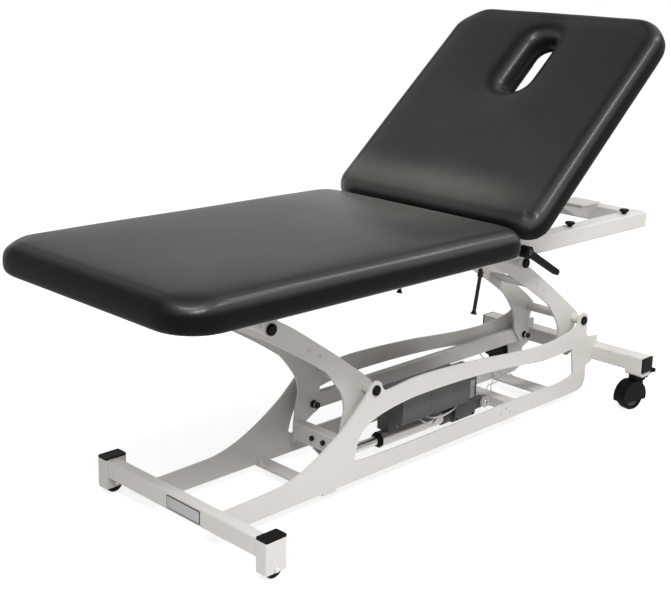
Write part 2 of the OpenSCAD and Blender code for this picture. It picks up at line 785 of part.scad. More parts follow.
module actuator_motor() {
  y0 = act_y + motor_off - motor_w / 2;
  color(dark) place() {
    translate([gear_x - motor_len, 0, 0]) rotate([90, 0, 90]) linear_extrude(height = motor_len)
      polygon(slab_pts(y0, y0 + motor_w, motor_z, motor_top, motor_round, 5));
    box(gear_x - motor_len + motor_round, gear_x - motor_len + motor_round + box_foot,
      act_y - tube_r, act_y + tube_r, act_z + tube_r, motor_z);
    box(gear_x - box_foot * 2, gear_x, act_y - tube_r, act_y + tube_r, act_z + gear_tube_r, motor_z);
  }
}
module actuator_tube() {
  color(alu) place() difference() {
    bar_x(act_y, act_z, tube_r, tube_x, gear_x - box_foot);
    bar_x(act_y, act_z, rod_r + wall, tube_x - over, gear_x);
  }
}
module tube_collar() {
  color(black) place() difference() {
    bar_x(act_y, act_z, collar_r, tube_x - collar_len, tube_x);
    bar_x(act_y, act_z, rod_r + run, tube_x - collar_len - over, tube_x + over);
  }
}
module actuator_rod() {
  color(steel) place() {
    bar_x(act_y, act_z, rod_r, d1[0] + rod_eye_r - step_run, tube_x + rod_depth);
    bar_y(d1, rod_eye_r, act_y - rod_eye_w / 2, act_y + rod_eye_w / 2, 48);
  }
}

// Rails with the tabs that hold the upper pins
module rail() {
  tube_x(rail_x, rail_end - end_t, rail_in, rail_out, rail_z, rail_top, wall);
  for (b = [b1, b2]) difference() {
    upright(concat(arc(b, tab_r, 180, 360, 24), [[b[0] + tab_r, rail_z + wall], [b[0] - tab_r, rail_z + wall]]),
      rail_out - tab_t, rail_out);
    bar_y(b, pin_r + seat, rail_out - tab_t - over, rail_out + over);
  }
}
module rail_near() { color(paint) place() mirror([0, 1, 0]) rail(); }
module rail_far() { color(paint) place() rail(); }
module end_pieces() {
  color(paint) place() {
    both() along(slab_pts(rail_in, rail_out, rail_z, rail_top, tube_corner, 3), rail_end - end_t, rail_end);
    // Folded shelf on the head cross tube, with a brace that narrows towards the tube's lower edge
    w = shelf_w / 2 - shelf_lip;
    top = rail_top + shelf_h - shelf_t;
    box(shelf_x, shelf_x + shelf_d, -shelf_w / 2, shelf_w / 2, top, rail_top + shelf_h);
    box(shelf_x + shelf_lip, shelf_x + shelf_d - shelf_lip, -w, w, rail_top, top);
    intersection() {
      upright([[shelf_x + shelf_lip, rail_top], [rail_end - head_cross_w, rail_top],
        [rail_end - head_cross_w, rail_z + wall]], -w, w);
      along([[-w, rail_top], [w, rail_top], [shelf_foot_w / 2, rail_z + wall],
        [-shelf_foot_w / 2, rail_z + wall]], shelf_x, rail_end);
    }
  }
}
module frame_crosses() {
  color(paint) place() {
    tube_y(rail_x, rail_x + foot_cross_w, -rail_in, rail_in, rail_z, rail_top, wall);
    tube_y(mid_cross_x, mid_cross_x + mid_cross_w, -rail_in, rail_in, rail_z, rail_top, wall);
    tube_y(rail_end - head_cross_w, rail_end, -rail_in, rail_in, rail_z, rail_top, wall);
  }
}
module bumpers() {
  color(rubber) place() both() for (x = [bumper_x1, bumper_x2])
    translate([x, rail_in + rail_w / 2, rail_top]) rotate_extrude($fn = 48)
      polygon([[0, 0], [bumper_neck_r, 0], [bumper_neck_r, bumper_h * 0.2], [bumper_r, bumper_h * 0.62],
        [bumper_r, bumper_h * 0.84], [bumper_r - bumper_h * 0.16, bumper_h], [0, bumper_h]]);
}
module top_pins() {
  color(steel) place() both() {
    for (b = [b1, b2]) bar_y(b, pin_r, pin_reach, rail_out);
    bar_y([hinge_x, hinge_z], hinge_r, hinge_pin_in, ear_in + ear_t, 32);
    button_y([hinge_x, hinge_z], hinge_head_r, ear_in + ear_t, hinge_head_t);
  }
  color(steel) place() {
    bar_y([lever_x, lever_z], lever_pin_r, -lever_out, -rail_out, 32);
    mirror([0, 1, 0]) button_y([lever_x, lever_z], lever_pin_r + lever_head_t, lever_out, lever_head_t);
  }
}
module top_caps() {
  color(black) place() both() for (b = [b1, b2]) button_y(b, top_cap_r, rail_out, top_cap_t);
}
module frame_brackets() {
  color(paint) place() both() {
    // Spacers under the foot board
    for (x = [rail_x + foot_cross_w / 2, (rail_x + mid_cross_x) / 2, mid_cross_x + mid_cross_w / 2])
      box(x - spacer_d / 2, x + spacer_d / 2, rail_in + rail_w / 2 - spacer_w / 2,
        rail_in + rail_w / 2 + spacer_w / 2, rail_top, board_z);
    // Hangers of the rod locks, each with its stub pin
    upright(concat(arc([lock_x, lock_z], lock_boss_r, 180, 360, 16),
      [[lock_x + lock_boss_r, rail_z], [lock_x - lock_boss_r, rail_z]]),
      hang_in, hang_in + lock_plate_t);
    bar_y([lock_x, lock_z], lock_pin_r, lock_pin_in, hang_in, 32);
  }
}
module hinge_ears() {
  color(paint) place() both() difference() {
    upright(concat(arc([hinge_x, hinge_z], ear_w / 2, 0, 180, 16),
      [[hinge_x - ear_w / 2, rail_top], [hinge_x + ear_w / 2, rail_top]]), ear_in, ear_in + ear_t);
    bar_y([hinge_x, hinge_z], hinge_r + seat, ear_in - over, ear_in + ear_t + over, 32);
  }
}
module foot_board() {
  color(wood) place() translate([0, 0, board_z]) linear_extrude(height = board_t)
    polygon(slab_pts(foot_x + board_inset, foot_board_end, board_inset - pad_w / 2,
      pad_w / 2 - board_inset, board_r, 8));
}

// A cushion: closed rings of a rounded plan, drawn in at the edges, with a crowned top
function pad_ring(x0, x1, ra, rb, ins, z, n) =
  let (p = concat(
    arc([x1 - rb, pad_w / 2 - rb], rb - ins, 0, 90, n), arc([x0 + ra, pad_w / 2 - ra], ra - ins, 90, 180, n),
    arc([x0 + ra, ra - pad_w / 2], ra - ins, 180, 270, n), arc([x1 - rb, rb - pad_w / 2], rb - ins, 270, 360, n)))
  [for (v = p) [v[0], v[1], z]];
function pad_level(x0, x1, ra, rb, z0, t, n) = concat(
  [for (k = [0 : 4]) let (d = 90 - 90 * k / 4)
    pad_ring(x0, x1, ra, rb, pad_round * (1 - cos(d)), z0 + pad_round * (1 - sin(d)), n)],
  [for (k = [0 : 4]) let (d = 90 * k / 4)
    pad_ring(x0, x1, ra, rb, pad_round * (1 - cos(d)), z0 + t - pad_round * (1 - sin(d)), n)]);
module pad(x0, x1, ra, rb, z0, t) {
  n = 6;
  m = 4 * (n + 1);
  side = pad_level(x0, x1, ra, rb, z0, t, n);
  mid = [(x0 + x1) / 2, 0, z0 + t];
  dome = [for (k = [1 : 6]) let (s = 1 - k / 7)
    [for (v = side[9]) [mid[0] + (v[0] - mid[0]) * s, v[1] * s, z0 + t + crown * (1 - s * s * s)]]];
  rings = concat(side, dome);
  pts = concat([for (r = rings) each r], [[mid[0], 0, z0], [mid[0], 0, z0 + t + crown]]);
  last = len(rings) - 1;
  faces = concat(
    [for (k = [0 : last - 1], j = [0 : m - 1]) [k * m + j, (k + 1) * m + j, (k + 1) * m + (j + 1) % m]],
    [for (k = [0 : last - 1], j = [0 : m - 1]) [k * m + j, (k + 1) * m + (j + 1) % m, k * m + (j + 1) % m]],
    [for (j = [0 : m - 1]) [len(rings) * m, j, (j + 1) % m]],
    [for (j = [0 : m - 1]) [len(rings) * m + 1, last * m + (j + 1) % m, last * m + j]]);
  polyhedron(points = pts, faces = faces);
}
module foot_cushion() {
  color(vinyl) place() pad(foot_x, hinge_x - hinge_gap, pad_corner, pad_corner_in, pad_z, pad_t - crown);
}

// Release lever beside the near rail
module release_lever() {
  tip = [lever_x + lever_dx, lever_z + lever_dz];
  color(black) place() difference() {
    union() {
      bar_y([lever_x, lever_z], lever_hub_r, -lever_out + gap, -rail_out - gap, 48);
      hull() {
        bar_y([lever_x, lever_z], lever_w, -lever_out + gap, -lever_out + lever_t, 32);
        bar_y(tip, lever_end, -lever_out + gap, -lever_out + lever_t, 32);
      }
    }
    bar_y([lever_x, lever_z], lever_pin_r + run, -lever_out - over, -rail_out + over, 32);
  }
}

// Back section, drawn flat and turned up about the hinge
module raised() {
  place() translate([hinge_x, 0, hinge_z]) rotate([0, -back_deg, 0]) translate([-hinge_x, 0, -hinge_z]) children();
}
module back_hinge() {
  color(paint) raised() difference() {
    union() {
      bar_y([hinge_x, hinge_z], barrel_r, gap - ear_in, ear_in - gap, 48);
      box(back_x - gap * 2 - leaf_t, back_x - gap * 2, -leaf_half, leaf_half, board_z - leaf_t, hinge_z);
      box(back_x - gap * 2 - leaf_t, back_x + leaf_foot, -leaf_half, leaf_half, board_z - leaf_t, board_z);
    }
    bar_y([hinge_x, hinge_z], hinge_r + run, -ear_in, ear_in, 32);
  }
}
module back_tubes() {
  color(paint) raised() both()
    tube_x(back_tube_x, back_tube_x + back_tube_len, back_tube_y, back_tube_y + back_tube_w,
      board_z - back_tube_h, board_z, wall);
}
module back_brackets() {
  color(paint) raised() both() difference() {
    union() {
      upright(concat(arc(q_flat, back_bracket_r, 180, 360, 16),
        [[q_flat[0] + back_bracket_r, board_z], [q_flat[0] - back_bracket_r, board_z]]),
        back_bracket_in, back_bracket_in + back_bracket_t);
      box(q_flat[0] - back_bracket_r, q_flat[0] + back_bracket_r, leaf_half + over, back_bracket_in + over,
        board_z - leaf_t, board_z);
    }
    bar_y(q_flat, pin_r, back_bracket_in - over, back_bracket_in + back_bracket_t + over);
  }
  color(steel) raised() both() {
    bar_y(q_flat, pin_r, back_bracket_in, back_bracket_in + back_bracket_t);
    translate([0, back_bracket_in, 0]) mirror([0, 1, 0]) button_y(q_flat, pin_r + over * 2, 0, pin_r);
  }
}
module back_board() {
  color(wood) raised() difference() {
    translate([0, 0, board_z]) linear_extrude(height = board_t)
      polygon(slab_pts(back_board_x, back_board_x + back_board_len, board_inset - pad_w / 2,
        pad_w / 2 - board_inset, board_r, 8));
    slot_cut(board_z - over, board_z + board_t + over);
  }
}
module slot_cut(z0, z1) {
  translate([0, 0, z0]) linear_extrude(height = z1 - z0)
    polygon(slab_pts(slot_x, slot_x + slot_len, -slot_w / 2, slot_w / 2, slot_w / 2, 8));
}
module back_cushion() {
  c = slot_x + slot_len / 2;
  wide = 1 + slot_flare * 2 / slot_w;
  color(vinyl) raised() difference() {
    pad(back_x, back_x + back_len, pad_corner_in, pad_corner, pad_z, pad_t - crown);
    slot_cut(pad_z - over, pad_top + crown);
    translate([c, 0, pad_top - slot_depth]) linear_extrude(height = slot_depth + over,
      scale = [1 + slot_flare * 2 / slot_len, wide]) translate([-c, 0, 0])
      polygon(slab_pts(slot_x, slot_x + slot_len, -slot_w / 2, slot_w / 2, slot_w / 2, 8));
  }
}

// Rod locks: a housing that swings on the rail's stub pin and a rod that slides in it
module along_lock() {
  place() translate([lock_x, 0, lock_z]) rotate([0, lock_deg, 0]) children();
}
module lock_body() {
  difference() {
    union() {
      translate([0, lock_y, -lock_down]) cylinder(r = lock_r, h = lock_down + lock_up, $fn = 48);
      bar_y([0, 0], lock_boss_r, lock_y, hang_in - gap, 48);
    }
    translate([0, lock_y, -lock_down - over]) cylinder(r = lock_rod_r + run, h = lock_down + lock_up + over * 2, $fn = 32);
    bar_y([0, 0], lock_pin_r + run, lock_pin_in - gap, hang_in + over, 32);
  }
}
module lock_near() { color(black) mirror([0, 1, 0]) along_lock() lock_body(); }
module lock_far() { color(black) along_lock() lock_body(); }
module lock_rod() {
  translate([0, lock_y, -lock_rod_tail]) {
    cylinder(r = lock_rod_r, h = lock_rod_tail + lock_len - lock_eye_r + over, $fn = 32);
    cylinder(r1 = lock_collar_r, r2 = lock_rod_r, h = lock_collar_len, $fn = 40);
  }
  bar_y([0, lock_len], lock_eye_r, back_bracket_in + back_bracket_t + gap,
    back_bracket_in + back_bracket_t + gap + lock_eye_w, 48);
}
module rod_near() { color(black) mirror([0, 1, 0]) along_lock() lock_rod(); }
module rod_far() { color(black) along_lock() lock_rod(); }

// Casters, drawn with the stem on the origin, the pedal towards +X and the wheel trailing
module at_caster(side, yaw) {
  place() translate([head_x + head_d / 2, side * caster_y, 0]) rotate([0, 0, yaw]) children();
}
module caster_head() {
  half = wheel_w / 2 + fork_gap + fork_t;
  difference() {
    union() {
      bar_up(0, 0, stem_r, disc_z, socket_z + stem_h);
      bar_up(0, 0, disc_r, disc_z, socket_z - gap, 64);
      bar_up(0, 0, neck_r, neck_z, disc_z + over, 48);
      upright(concat(arc([-trail, wheel_z], fork_r, -15, 195, 40),
        [[-trail - fork_foot, fork_low], [-trail + fork_foot, fork_low]]), -half, half);
      both() box(pedal_x - pedal_ear_back, pedal_x + pedal_ear_r, pedal_w / 2 + gap,
        pedal_w / 2 + gap + pedal_ear_t, pedal_z - pedal_ear_r, pedal_z + pedal_ear_r);
    }
    bar_y([-trail, wheel_z], fork_in_r, -wheel_w / 2 - fork_gap, wheel_w / 2 + fork_gap, 64);
    box(-trail - fork_in_r, -trail + fork_in_r, -wheel_w / 2 - fork_gap, wheel_w / 2 + fork_gap, -over, wheel_z);
    bar_y([pedal_x, pedal_z], pedal_pin_r + run, -pedal_w, pedal_w, 24);
  }
  bar_y([-trail, wheel_z], wheel_pin_r, -half, half, 32);
}
module caster_wheel() {
  hub_w = wheel_w / 2 + fork_gap - gap;
  translate([-trail, 0, wheel_z]) rotate([90, 0, 0]) rotate_extrude($fn = 96) polygon([
    [wheel_pin_r + run, -hub_w], [wheel_pin_r * 2, -hub_w], [wheel_pin_r * 2.4, -wheel_w * 0.3],
    [wheel_r * 0.72, -wheel_w * 0.3], [wheel_r * 0.78, -wheel_w / 2], [wheel_r * 0.93, -wheel_w / 2],
    [wheel_r, -wheel_w * 0.32], [wheel_r, wheel_w * 0.32], [wheel_r * 0.93, wheel_w / 2],
    [wheel_r * 0.78, wheel_w / 2], [wheel_r * 0.72, wheel_w * 0.3], [wheel_pin_r * 2.4, wheel_w * 0.3],
    [wheel_pin_r * 2, hub_w], [wheel_pin_r + run, hub_w]]);
}
module caster_pedal() {
  difference() {
    union() {
      upright(from_shares(pedal_shares, pedal_x, pedal_z, pedal_ring_x - pedal_x, pedal_rise),
        -pedal_w / 2, pedal_w / 2);
      bar_up(pedal_ring_x, 0, pedal_ring_r, pedal_z + pedal_rise - pedal_ring_t, pedal_z + pedal_rise, 48);
    }
    bar_up(pedal_ring_x, 0, pedal_ring_in, pedal_z - over, pedal_z + pedal_rise + over, 32);
  }
  bar_y([pedal_x, pedal_z], pedal_pin_r, -pedal_w / 2 - gap - pedal_ear_t, pedal_w / 2 + gap + pedal_ear_t, 24);
}
module caster_head_near() { color(black) at_caster(-1, near_yaw) caster_head(); }
module caster_wheel_near() { color(rubber) at_caster(-1, near_yaw) caster_wheel(); }
module caster_pedal_near() { color(black) at_caster(-1, near_yaw) caster_pedal(); }
module caster_head_far() { color(black) at_caster(1, far_yaw) caster_head(); }
module caster_wheel_far() { color(rubber) at_caster(1, far_yaw) caster_wheel(); }
module caster_pedal_far() { color(black) at_caster(1, far_yaw) caster_pedal(); }

// Leads held by the object: a tube swept along hand-chosen points, eight-sided
function tangent(p, i) = let (d = p[min(i + 1, len(p) - 1)] - p[max(i - 1, 0)]) d / norm(d);
function ring_at(p, i, r) =
  let (t = tangent(p, i), s = abs(t[1]) < 0.9 ? [0, 1, 0] : [1, 0, 0],
    u = cross(t, s) / norm(cross(t, s)), v = cross(t, u))
  [for (k = [0 : 7]) p[i] + r * (cos(45 * k) * u + sin(45 * k) * v)];
module lead(path, r) {
  p = smooth(path, 5);
  n = len(p);
  pts = concat([for (i = [0 : n - 1]) each ring_at(p, i, r)], [p[0], p[n - 1]]);
  polyhedron(points = pts, faces = concat(
    [for (i = [0 : n - 2], k = [0 : 7]) [i * 8 + k, i * 8 + (k + 1) % 8, (i + 1) * 8 + (k + 1) % 8]],
    [for (i = [0 : n - 2], k = [0 : 7]) [i * 8 + k, (i + 1) * 8 + (k + 1) % 8, (i + 1) * 8 + k]],
    [for (k = [0 : 7]) [n * 8, (k + 1) % 8, k]],
    [for (k = [0 : 7]) [n * 8 + 1, (n - 1) * 8 + k, (n - 1) * 8 + (k + 1) % 8]]));
}
module motor_leads() {
  color(grey) place() translate([gear_x - lead_gear_x, 0, 0]) {
    lead(lead_a, lead_r);
    lead(lead_b, lead_r);
  }
}
module base_leads() {
  color(grey) place() translate([rear_x - lead_rear_x, 0, 0]) {
    lead(lead_c, lead_thin_r);
    lead(lead_d, lead_thin_r);
  }
}

foot_bar();
foot_posts();
foot_caps();
foot_roller_near();
foot_roller_far();
head_bar();
caster_sockets();
head_caps();
side_plate_near();
side_plate_far();
base_ties();
actuator_lugs();
base_bolts();
pivot_shafts();
pivot_caps();
base_leads();
foot_arm_near();
foot_arm_far();
foot_arm_ties();
crank_box();
crank_brackets();
foot_arm_bolts();
head_arm_near();
head_arm_far();
head_arm_ties();
head_arm_bolt();
tie_bar();
actuator_gearbox();
actuator_motor();
actuator_tube();
tube_collar();
motor_leads();
actuator_rod();
rail_near();
rail_far();
end_pieces();
frame_crosses();
bumpers();
frame_brackets();
top_pins();
top_caps();
hinge_ears();
foot_board();
foot_cushion();
release_lever();
back_hinge();
back_tubes();
back_brackets();
back_board();
back_cushion();
lock_near();
lock_far();
rod_near();
rod_far();
caster_head_near();
caster_wheel_near();
caster_pedal_near();
caster_head_far();
caster_wheel_far();
caster_pedal_far();
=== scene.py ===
# %% [markdown]
# # An electric treatment table
# The steel work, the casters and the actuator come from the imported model, and stay exactly where it
# puts them. What is added here is what makes them look real: paint, plastic, rubber and steel
# finishes, two upholstered cushions that replace their plain solids, and the small trim that a
# solid model leaves out. All lengths are metres.

import json
import math

import bpy
import numpy as np
from mathutils import Matrix, Vector


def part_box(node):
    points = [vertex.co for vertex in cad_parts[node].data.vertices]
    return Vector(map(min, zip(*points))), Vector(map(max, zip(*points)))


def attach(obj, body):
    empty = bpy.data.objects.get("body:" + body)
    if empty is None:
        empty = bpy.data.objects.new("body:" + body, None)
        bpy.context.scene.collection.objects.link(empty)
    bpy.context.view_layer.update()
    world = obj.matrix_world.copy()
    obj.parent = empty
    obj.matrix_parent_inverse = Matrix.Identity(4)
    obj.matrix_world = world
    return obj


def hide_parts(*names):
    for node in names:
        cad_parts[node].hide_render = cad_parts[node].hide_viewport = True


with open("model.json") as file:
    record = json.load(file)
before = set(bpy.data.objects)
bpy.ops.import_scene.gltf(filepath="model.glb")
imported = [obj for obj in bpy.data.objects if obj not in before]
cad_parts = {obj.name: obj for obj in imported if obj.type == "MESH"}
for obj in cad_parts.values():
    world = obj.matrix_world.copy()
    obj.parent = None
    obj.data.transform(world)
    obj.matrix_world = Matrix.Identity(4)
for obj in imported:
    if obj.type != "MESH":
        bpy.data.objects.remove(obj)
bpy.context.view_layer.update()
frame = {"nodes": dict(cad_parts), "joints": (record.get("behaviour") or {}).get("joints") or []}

# %% [markdown]
# ## The camera
# The view was worked out from the pivot caps, the posts and the rail ends: a long lens, low and to
# the near side of the foot end. The picture is a crop, so its optical axis is off the middle. A small
# lens shift puts it back, without turning the verticals.

# %% Camera
IMAGE_W = 671
FOCAL_PX = 1206.7
SENSOR_MM = 36
AXIS_OFF_PX = (67.4, -47.0)
AZIMUTH, DOWN, ROLL = math.radians(42.2), math.radians(13.7), math.radians(2.1)
EYE = Vector((-2.1374, -1.9834, 1.2523))


def camera_axes(azimuth, down, roll):
    """Forward points along the azimuth and dips by down; right is level, then it rolls about forward."""
    level_reach = math.cos(down)
    forward = Vector((math.cos(azimuth) * level_reach, math.sin(azimuth) * level_reach, -math.sin(down)))
    level = forward.cross(Vector((0, 0, 1))).normalized()
    upright = level.cross(forward)
    right = level * math.cos(roll) + upright * math.sin(roll)
    return right, right.cross(forward), forward


def make_camera():
    data = bpy.data.cameras.new("camera")
    data.sensor_width = SENSOR_MM
    data.lens = FOCAL_PX / IMAGE_W * data.sensor_width
    data.shift_x = -AXIS_OFF_PX[0] / IMAGE_W
    data.shift_y = AXIS_OFF_PX[1] / IMAGE_W
    camera = bpy.data.objects.new("camera", data)
    right, up, forward = camera_axes(AZIMUTH, DOWN, ROLL)
    turn = Matrix((right, up, -forward)).transposed()
    camera.matrix_world = Matrix.Translation(EYE) @ turn.to_4x4()
    bpy.context.scene.collection.objects.link(camera)
    bpy.context.scene.camera = camera
    return camera


camera = make_camera()
print("lens", round(camera.data.lens, 1), "mm, shift", round(camera.data.shift_x, 3),
      round(camera.data.shift_y, 3))

# %% [markdown]
# ## A way to write finishes
# A finish is a formula over the surface. Wire wraps one output socket, and its operators add Math
# nodes, so a pattern can be written as plain arithmetic. Finish owns one material and has a single
# method that adds any other node: its type, its settings, then what goes into its sockets.


# %% Wires and finishes
class Wire:
    """One output socket. Sums and products of wires add Math nodes to its tree."""

    def __init__(self, finish, socket):
        self.finish = finish
        self.socket = socket

    def math(self, operation, *others):
        operands = dict(enumerate((self, *others)))
        return self.finish.node("ShaderNodeMath", {"operation": operation}, operands)

    def __add__(self, other):
        return self.math("ADD", other)

    def __mul__(self, other):
        return self.math("MULTIPLY", other)

    def __sub__(self, other):
        return self.math("SUBTRACT", other)

    def __rsub__(self, other):
        return self.finish.node("ShaderNodeMath", {"operation": "SUBTRACT"}, {0: other, 1: self})

    __radd__ = __add__

    def between(self, low, high):
        """0 below low and 1 above high, with a smooth rise."""
        return self.finish.node("ShaderNodeMapRange", {"interpolation_type": "SMOOTHSTEP"},
                                {"Value": self, "From Min": low, "From Max": high})


class Finish:
    """A procedural material around one Principled shader."""

    def __init__(self, name, **constants):
        self.material = bpy.data.materials.new(name)
        self.material.use_nodes = True
        self.tree = self.material.node_tree
        self.shader = self.tree.nodes["Principled BSDF"]
        for socket, value in constants.items():
            self.shader.inputs[socket.replace("_", " ")].default_value = value
        self.place = self.node("ShaderNodeTexCoord", {}, {}, "Object")

    def node(self, kind, settings, sockets, out=0):
        """Add a node, set it up, and fill its sockets with wires or plain values."""
        node = self.tree.nodes.new(kind)
        for key, value in settings.items():
            setattr(node, key, value)
        for key, value in sockets.items():
            if isinstance(value, Wire):
                self.tree.links.new(value.socket, node.inputs[key])
            else:
                node.inputs[key].default_value = value
        return Wire(self, node.outputs[out])

    def stretched(self, x, y, z):
        return self.node("ShaderNodeVectorMath", {"operation": "MULTIPLY"},
                         {0: self.place, 1: (x, y, z)})

    def noise(self, scale, detail=4.0, rough=0.55, place=None, warp=0.0):
        return self.node("ShaderNodeTexNoise", {}, {"Vector": place or self.place, "Scale": scale,
                         "Detail": detail, "Roughness": rough, "Distortion": warp})

    def cells(self, scale, feature="F1", place=None):
        return self.node("ShaderNodeTexVoronoi", {"feature": feature},
                         {"Vector": place or self.place, "Scale": scale})

    def attribute(self, name):
        return self.node("ShaderNodeAttribute", {"attribute_name": name}, {}, "Fac")

    def blend(self, factor, a, b):
        """Colour a where factor is 0 and colour b where it is 1."""
        four = [(*c, 1) if isinstance(c, tuple) and len(c) == 3 else c for c in (a, b)]
        return self.node("ShaderNodeMix", {"data_type": "RGBA"}, {0: factor, 6: four[0], 7: four[1]}, 2)

    def bump(self, height, strength, distance, base=None):
        sockets = {"Height": height, "Strength": strength, "Distance": distance}
        if base:
            sockets["Normal"] = base
        return self.node("ShaderNodeBump", {}, sockets)

    def feed(self, **links):
        for key, wire in links.items():
            self.tree.links.new(wire.socket, self.shader.inputs[key.replace("_", " ")])
        return self.material


def dress(material, *nodes):
    """Give CAD nodes a finish, in every material slot that they have."""
    for name in nodes:
        mesh = frame["nodes"][name].data
        mesh.materials.clear()
        mesh.materials.append(material)


print("finish kit ready")

# %% [markdown]
# ## Warm white powder coat
# The steel is sprayed with dry powder that melts into a skin about 0.1 mm thick. Close up it has an
# orange-peel ripple a few millimetres wide and a satin gloss. Handling greys it a little in broad
# patches, and small rub marks make it rougher. A ripple in the bump and two soft noises give that.


# %% Powder coat
def powder_coat():
    f = Finish("powder_coat", Coat_Weight=0.12, Coat_Roughness=0.25)
    patch = f.noise(2.2, 3.0)
    cloud = f.noise(9.0, 5.0, 0.6)
    speck = f.cells(420.0).between(0.0, 0.16)
    rub_and_sheen = f.noise(26.0, 6.0, 0.7, f.stretched(1.0, 1.0, 2.4)).between(0.60, 0.74)
    shade = f.blend(patch.between(0.35, 0.70), (0.665, 0.642, 0.612), (0.635, 0.611, 0.578))
    shade = f.blend(cloud.between(0.55, 0.80) * 0.30, shade, (0.56, 0.537, 0.50))
    shade = f.blend(rub_and_sheen * 0.14, shade, (0.44, 0.42, 0.39))
    shade = f.blend((1 - speck) * 0.10, shade, (0.30, 0.28, 0.25))
    peel = f.noise(260.0, 2.0, 0.4)
    fine = f.noise(900.0, 2.0, 0.5)
    normal = f.bump(peel * 0.8 + fine * 0.2, 0.22, 0.0006)
    return f.feed(Base_Color=shade, Roughness=0.36 + cloud * 0.10 + rub_and_sheen * 0.14, Normal=normal)


PAINTED = ["foot_bar", "foot_posts", "head_bar", "caster_sockets", "side_plate_near", "side_plate_far",
           "base_ties", "actuator_lugs", "foot_arm_near", "foot_arm_far", "foot_arm_ties", "crank_box",
           "crank_brackets", "head_arm_near", "head_arm_far", "head_arm_ties", "tie_bar", "rail_near",
           "rail_far", "end_pieces", "frame_crosses", "frame_brackets", "back_tubes", "back_brackets"]
dress(powder_coat(), *PAINTED)
print("powder coat on", len(PAINTED), "nodes")

# %% [markdown]
# ## Black plastic, rubber and black steel
# The caps, the lever and the caster hoods are moulded nylon: a fine spark-eroded grain with a soft
# shine, and pale scuffs where shoes touch it. The tyres and bumpers are matt rubber with dust in
# their pores. The lock rods are blackened steel with faint streaks along them. The hinge gets the same
# black finish as painted shade, so that the gap between the cushions stays dark.


# %% Black finishes
def black_plastic():
    f = Finish("black_plastic", Specular_IOR_Level=0.08)
    grain = f.noise(1400.0, 3.0, 0.6)
    cloud = f.noise(18.0, 4.0)
    scuff = f.noise(70.0, 7.0, 0.75, f.stretched(1.0, 3.0, 1.0), 0.6).between(0.62, 0.72)
    shade = f.blend(cloud, (0.0022, 0.0022, 0.0024), (0.0045, 0.0045, 0.0045))
    shade = f.blend(scuff * 0.25, shade, (0.05, 0.05, 0.048))
    return f.feed(Base_Color=shade, Roughness=0.50 + grain * 0.12 + scuff * 0.2,
                  Normal=f.bump(grain, 0.25, 0.0002))


def rubber():
    f = Finish("rubber", Specular_IOR_Level=0.08)
    pores = f.cells(700.0)
    dust = f.noise(34.0, 6.0, 0.65).between(0.45, 0.75)
    shade = f.blend(dust * 0.4, (0.005, 0.005, 0.005), (0.035, 0.033, 0.030))
    return f.feed(Base_Color=shade, Roughness=0.62 + dust * 0.22, Normal=f.bump(pores, 0.3, 0.0003))


def black_steel():
    f = Finish("black_steel", Metallic=0.2, Specular_IOR_Level=0.3)
    streak = f.noise(60.0, 5.0, 0.6, f.stretched(9.0, 9.0, 0.6))
    worn = f.noise(30.0, 5.0, 0.7).between(0.62, 0.74)
    shade = f.blend(streak, (0.006, 0.006, 0.007), (0.014, 0.014, 0.015))
    shade = f.blend(worn * 0.3, shade, (0.10, 0.098, 0.095))
    return f.feed(Base_Color=shade, Roughness=0.30 + streak * 0.18, Normal=f.bump(streak, 0.12, 0.0003))


nylon = black_plastic()
dress(nylon, "foot_caps", "head_caps", "pivot_caps", "top_caps", "release_lever",
      "caster_head_near", "caster_head_far", "caster_pedal_near", "caster_pedal_far")
dress(rubber(), "foot_roller_near", "foot_roller_far", "bumpers",
      "caster_wheel_near", "caster_wheel_far")
# The hinge ears and barrel are dressed black as painted shade, so the gap between the cushions stays
# dark.
dress(black_steel(), "lock_near", "lock_far", "rod_near", "rod_far", "top_pins",
      "hinge_ears", "back_hinge")
print("black finishes done")

# %% [markdown]
# ## Steel, aluminium and the actuator's plastics
# The rod is ground and chromed, with hair-fine rings round it; bolts are zinc plated, a little cloudy.
# The outer tube is drawn aluminium, so its lines run lengthwise. The housings are dark grey filled
# plastic with a coarse eroded texture. The leads have a soft grey sheath.


# %% Steel, aluminium, housings and leads
SHANK_IN, SHANK_OUT, SHANK_BLUR = 0.0635, 0.0700, 0.0003
MOTOR_SEAM, SEAM_HALF, SEAM_BLUR = 0.086, 0.0004, 0.0010


def bright_steel():
    f = Finish("steel", Metallic=1.0)
    ring = f.noise(40.0, 4.0, 0.6, f.stretched(60.0, 1.0, 1.0))
    cloud = f.noise(12.0, 3.0, 0.5)
    shade = f.blend(cloud, (0.54, 0.515, 0.485), (0.66, 0.635, 0.60))
    return f.feed(Base_Color=shade, Roughness=0.26 + ring * 0.05 + cloud * 0.06,
                  Normal=f.bump(ring, 0.015, 0.0001))


def capped_bolt():
    """Black washer and cap; the shank between SHANK_IN and SHANK_OUT along y is left bright."""
    f = Finish("capped_bolt", Specular_IOR_Level=0.2)
    y = f.node("ShaderNodeSeparateXYZ", {}, {0: f.place}, 1)
    beyond = y.between(SHANK_OUT, SHANK_OUT + SHANK_BLUR)
    shank = y.between(SHANK_IN, SHANK_IN + SHANK_BLUR) * (1 - beyond)
    rust = f.noise(200.0, 5.0, 0.7).between(0.55, 0.75)
    black = f.blend(rust * 0.3, (0.004, 0.004, 0.004), (0.03, 0.028, 0.026))
    shade = f.blend(shank, black, (0.55, 0.54, 0.52))
    return f.feed(Base_Color=shade, Metallic=shank, Roughness=0.34 + rust * 0.2,
                  Normal=f.bump(rust, 0.1, 0.0002))


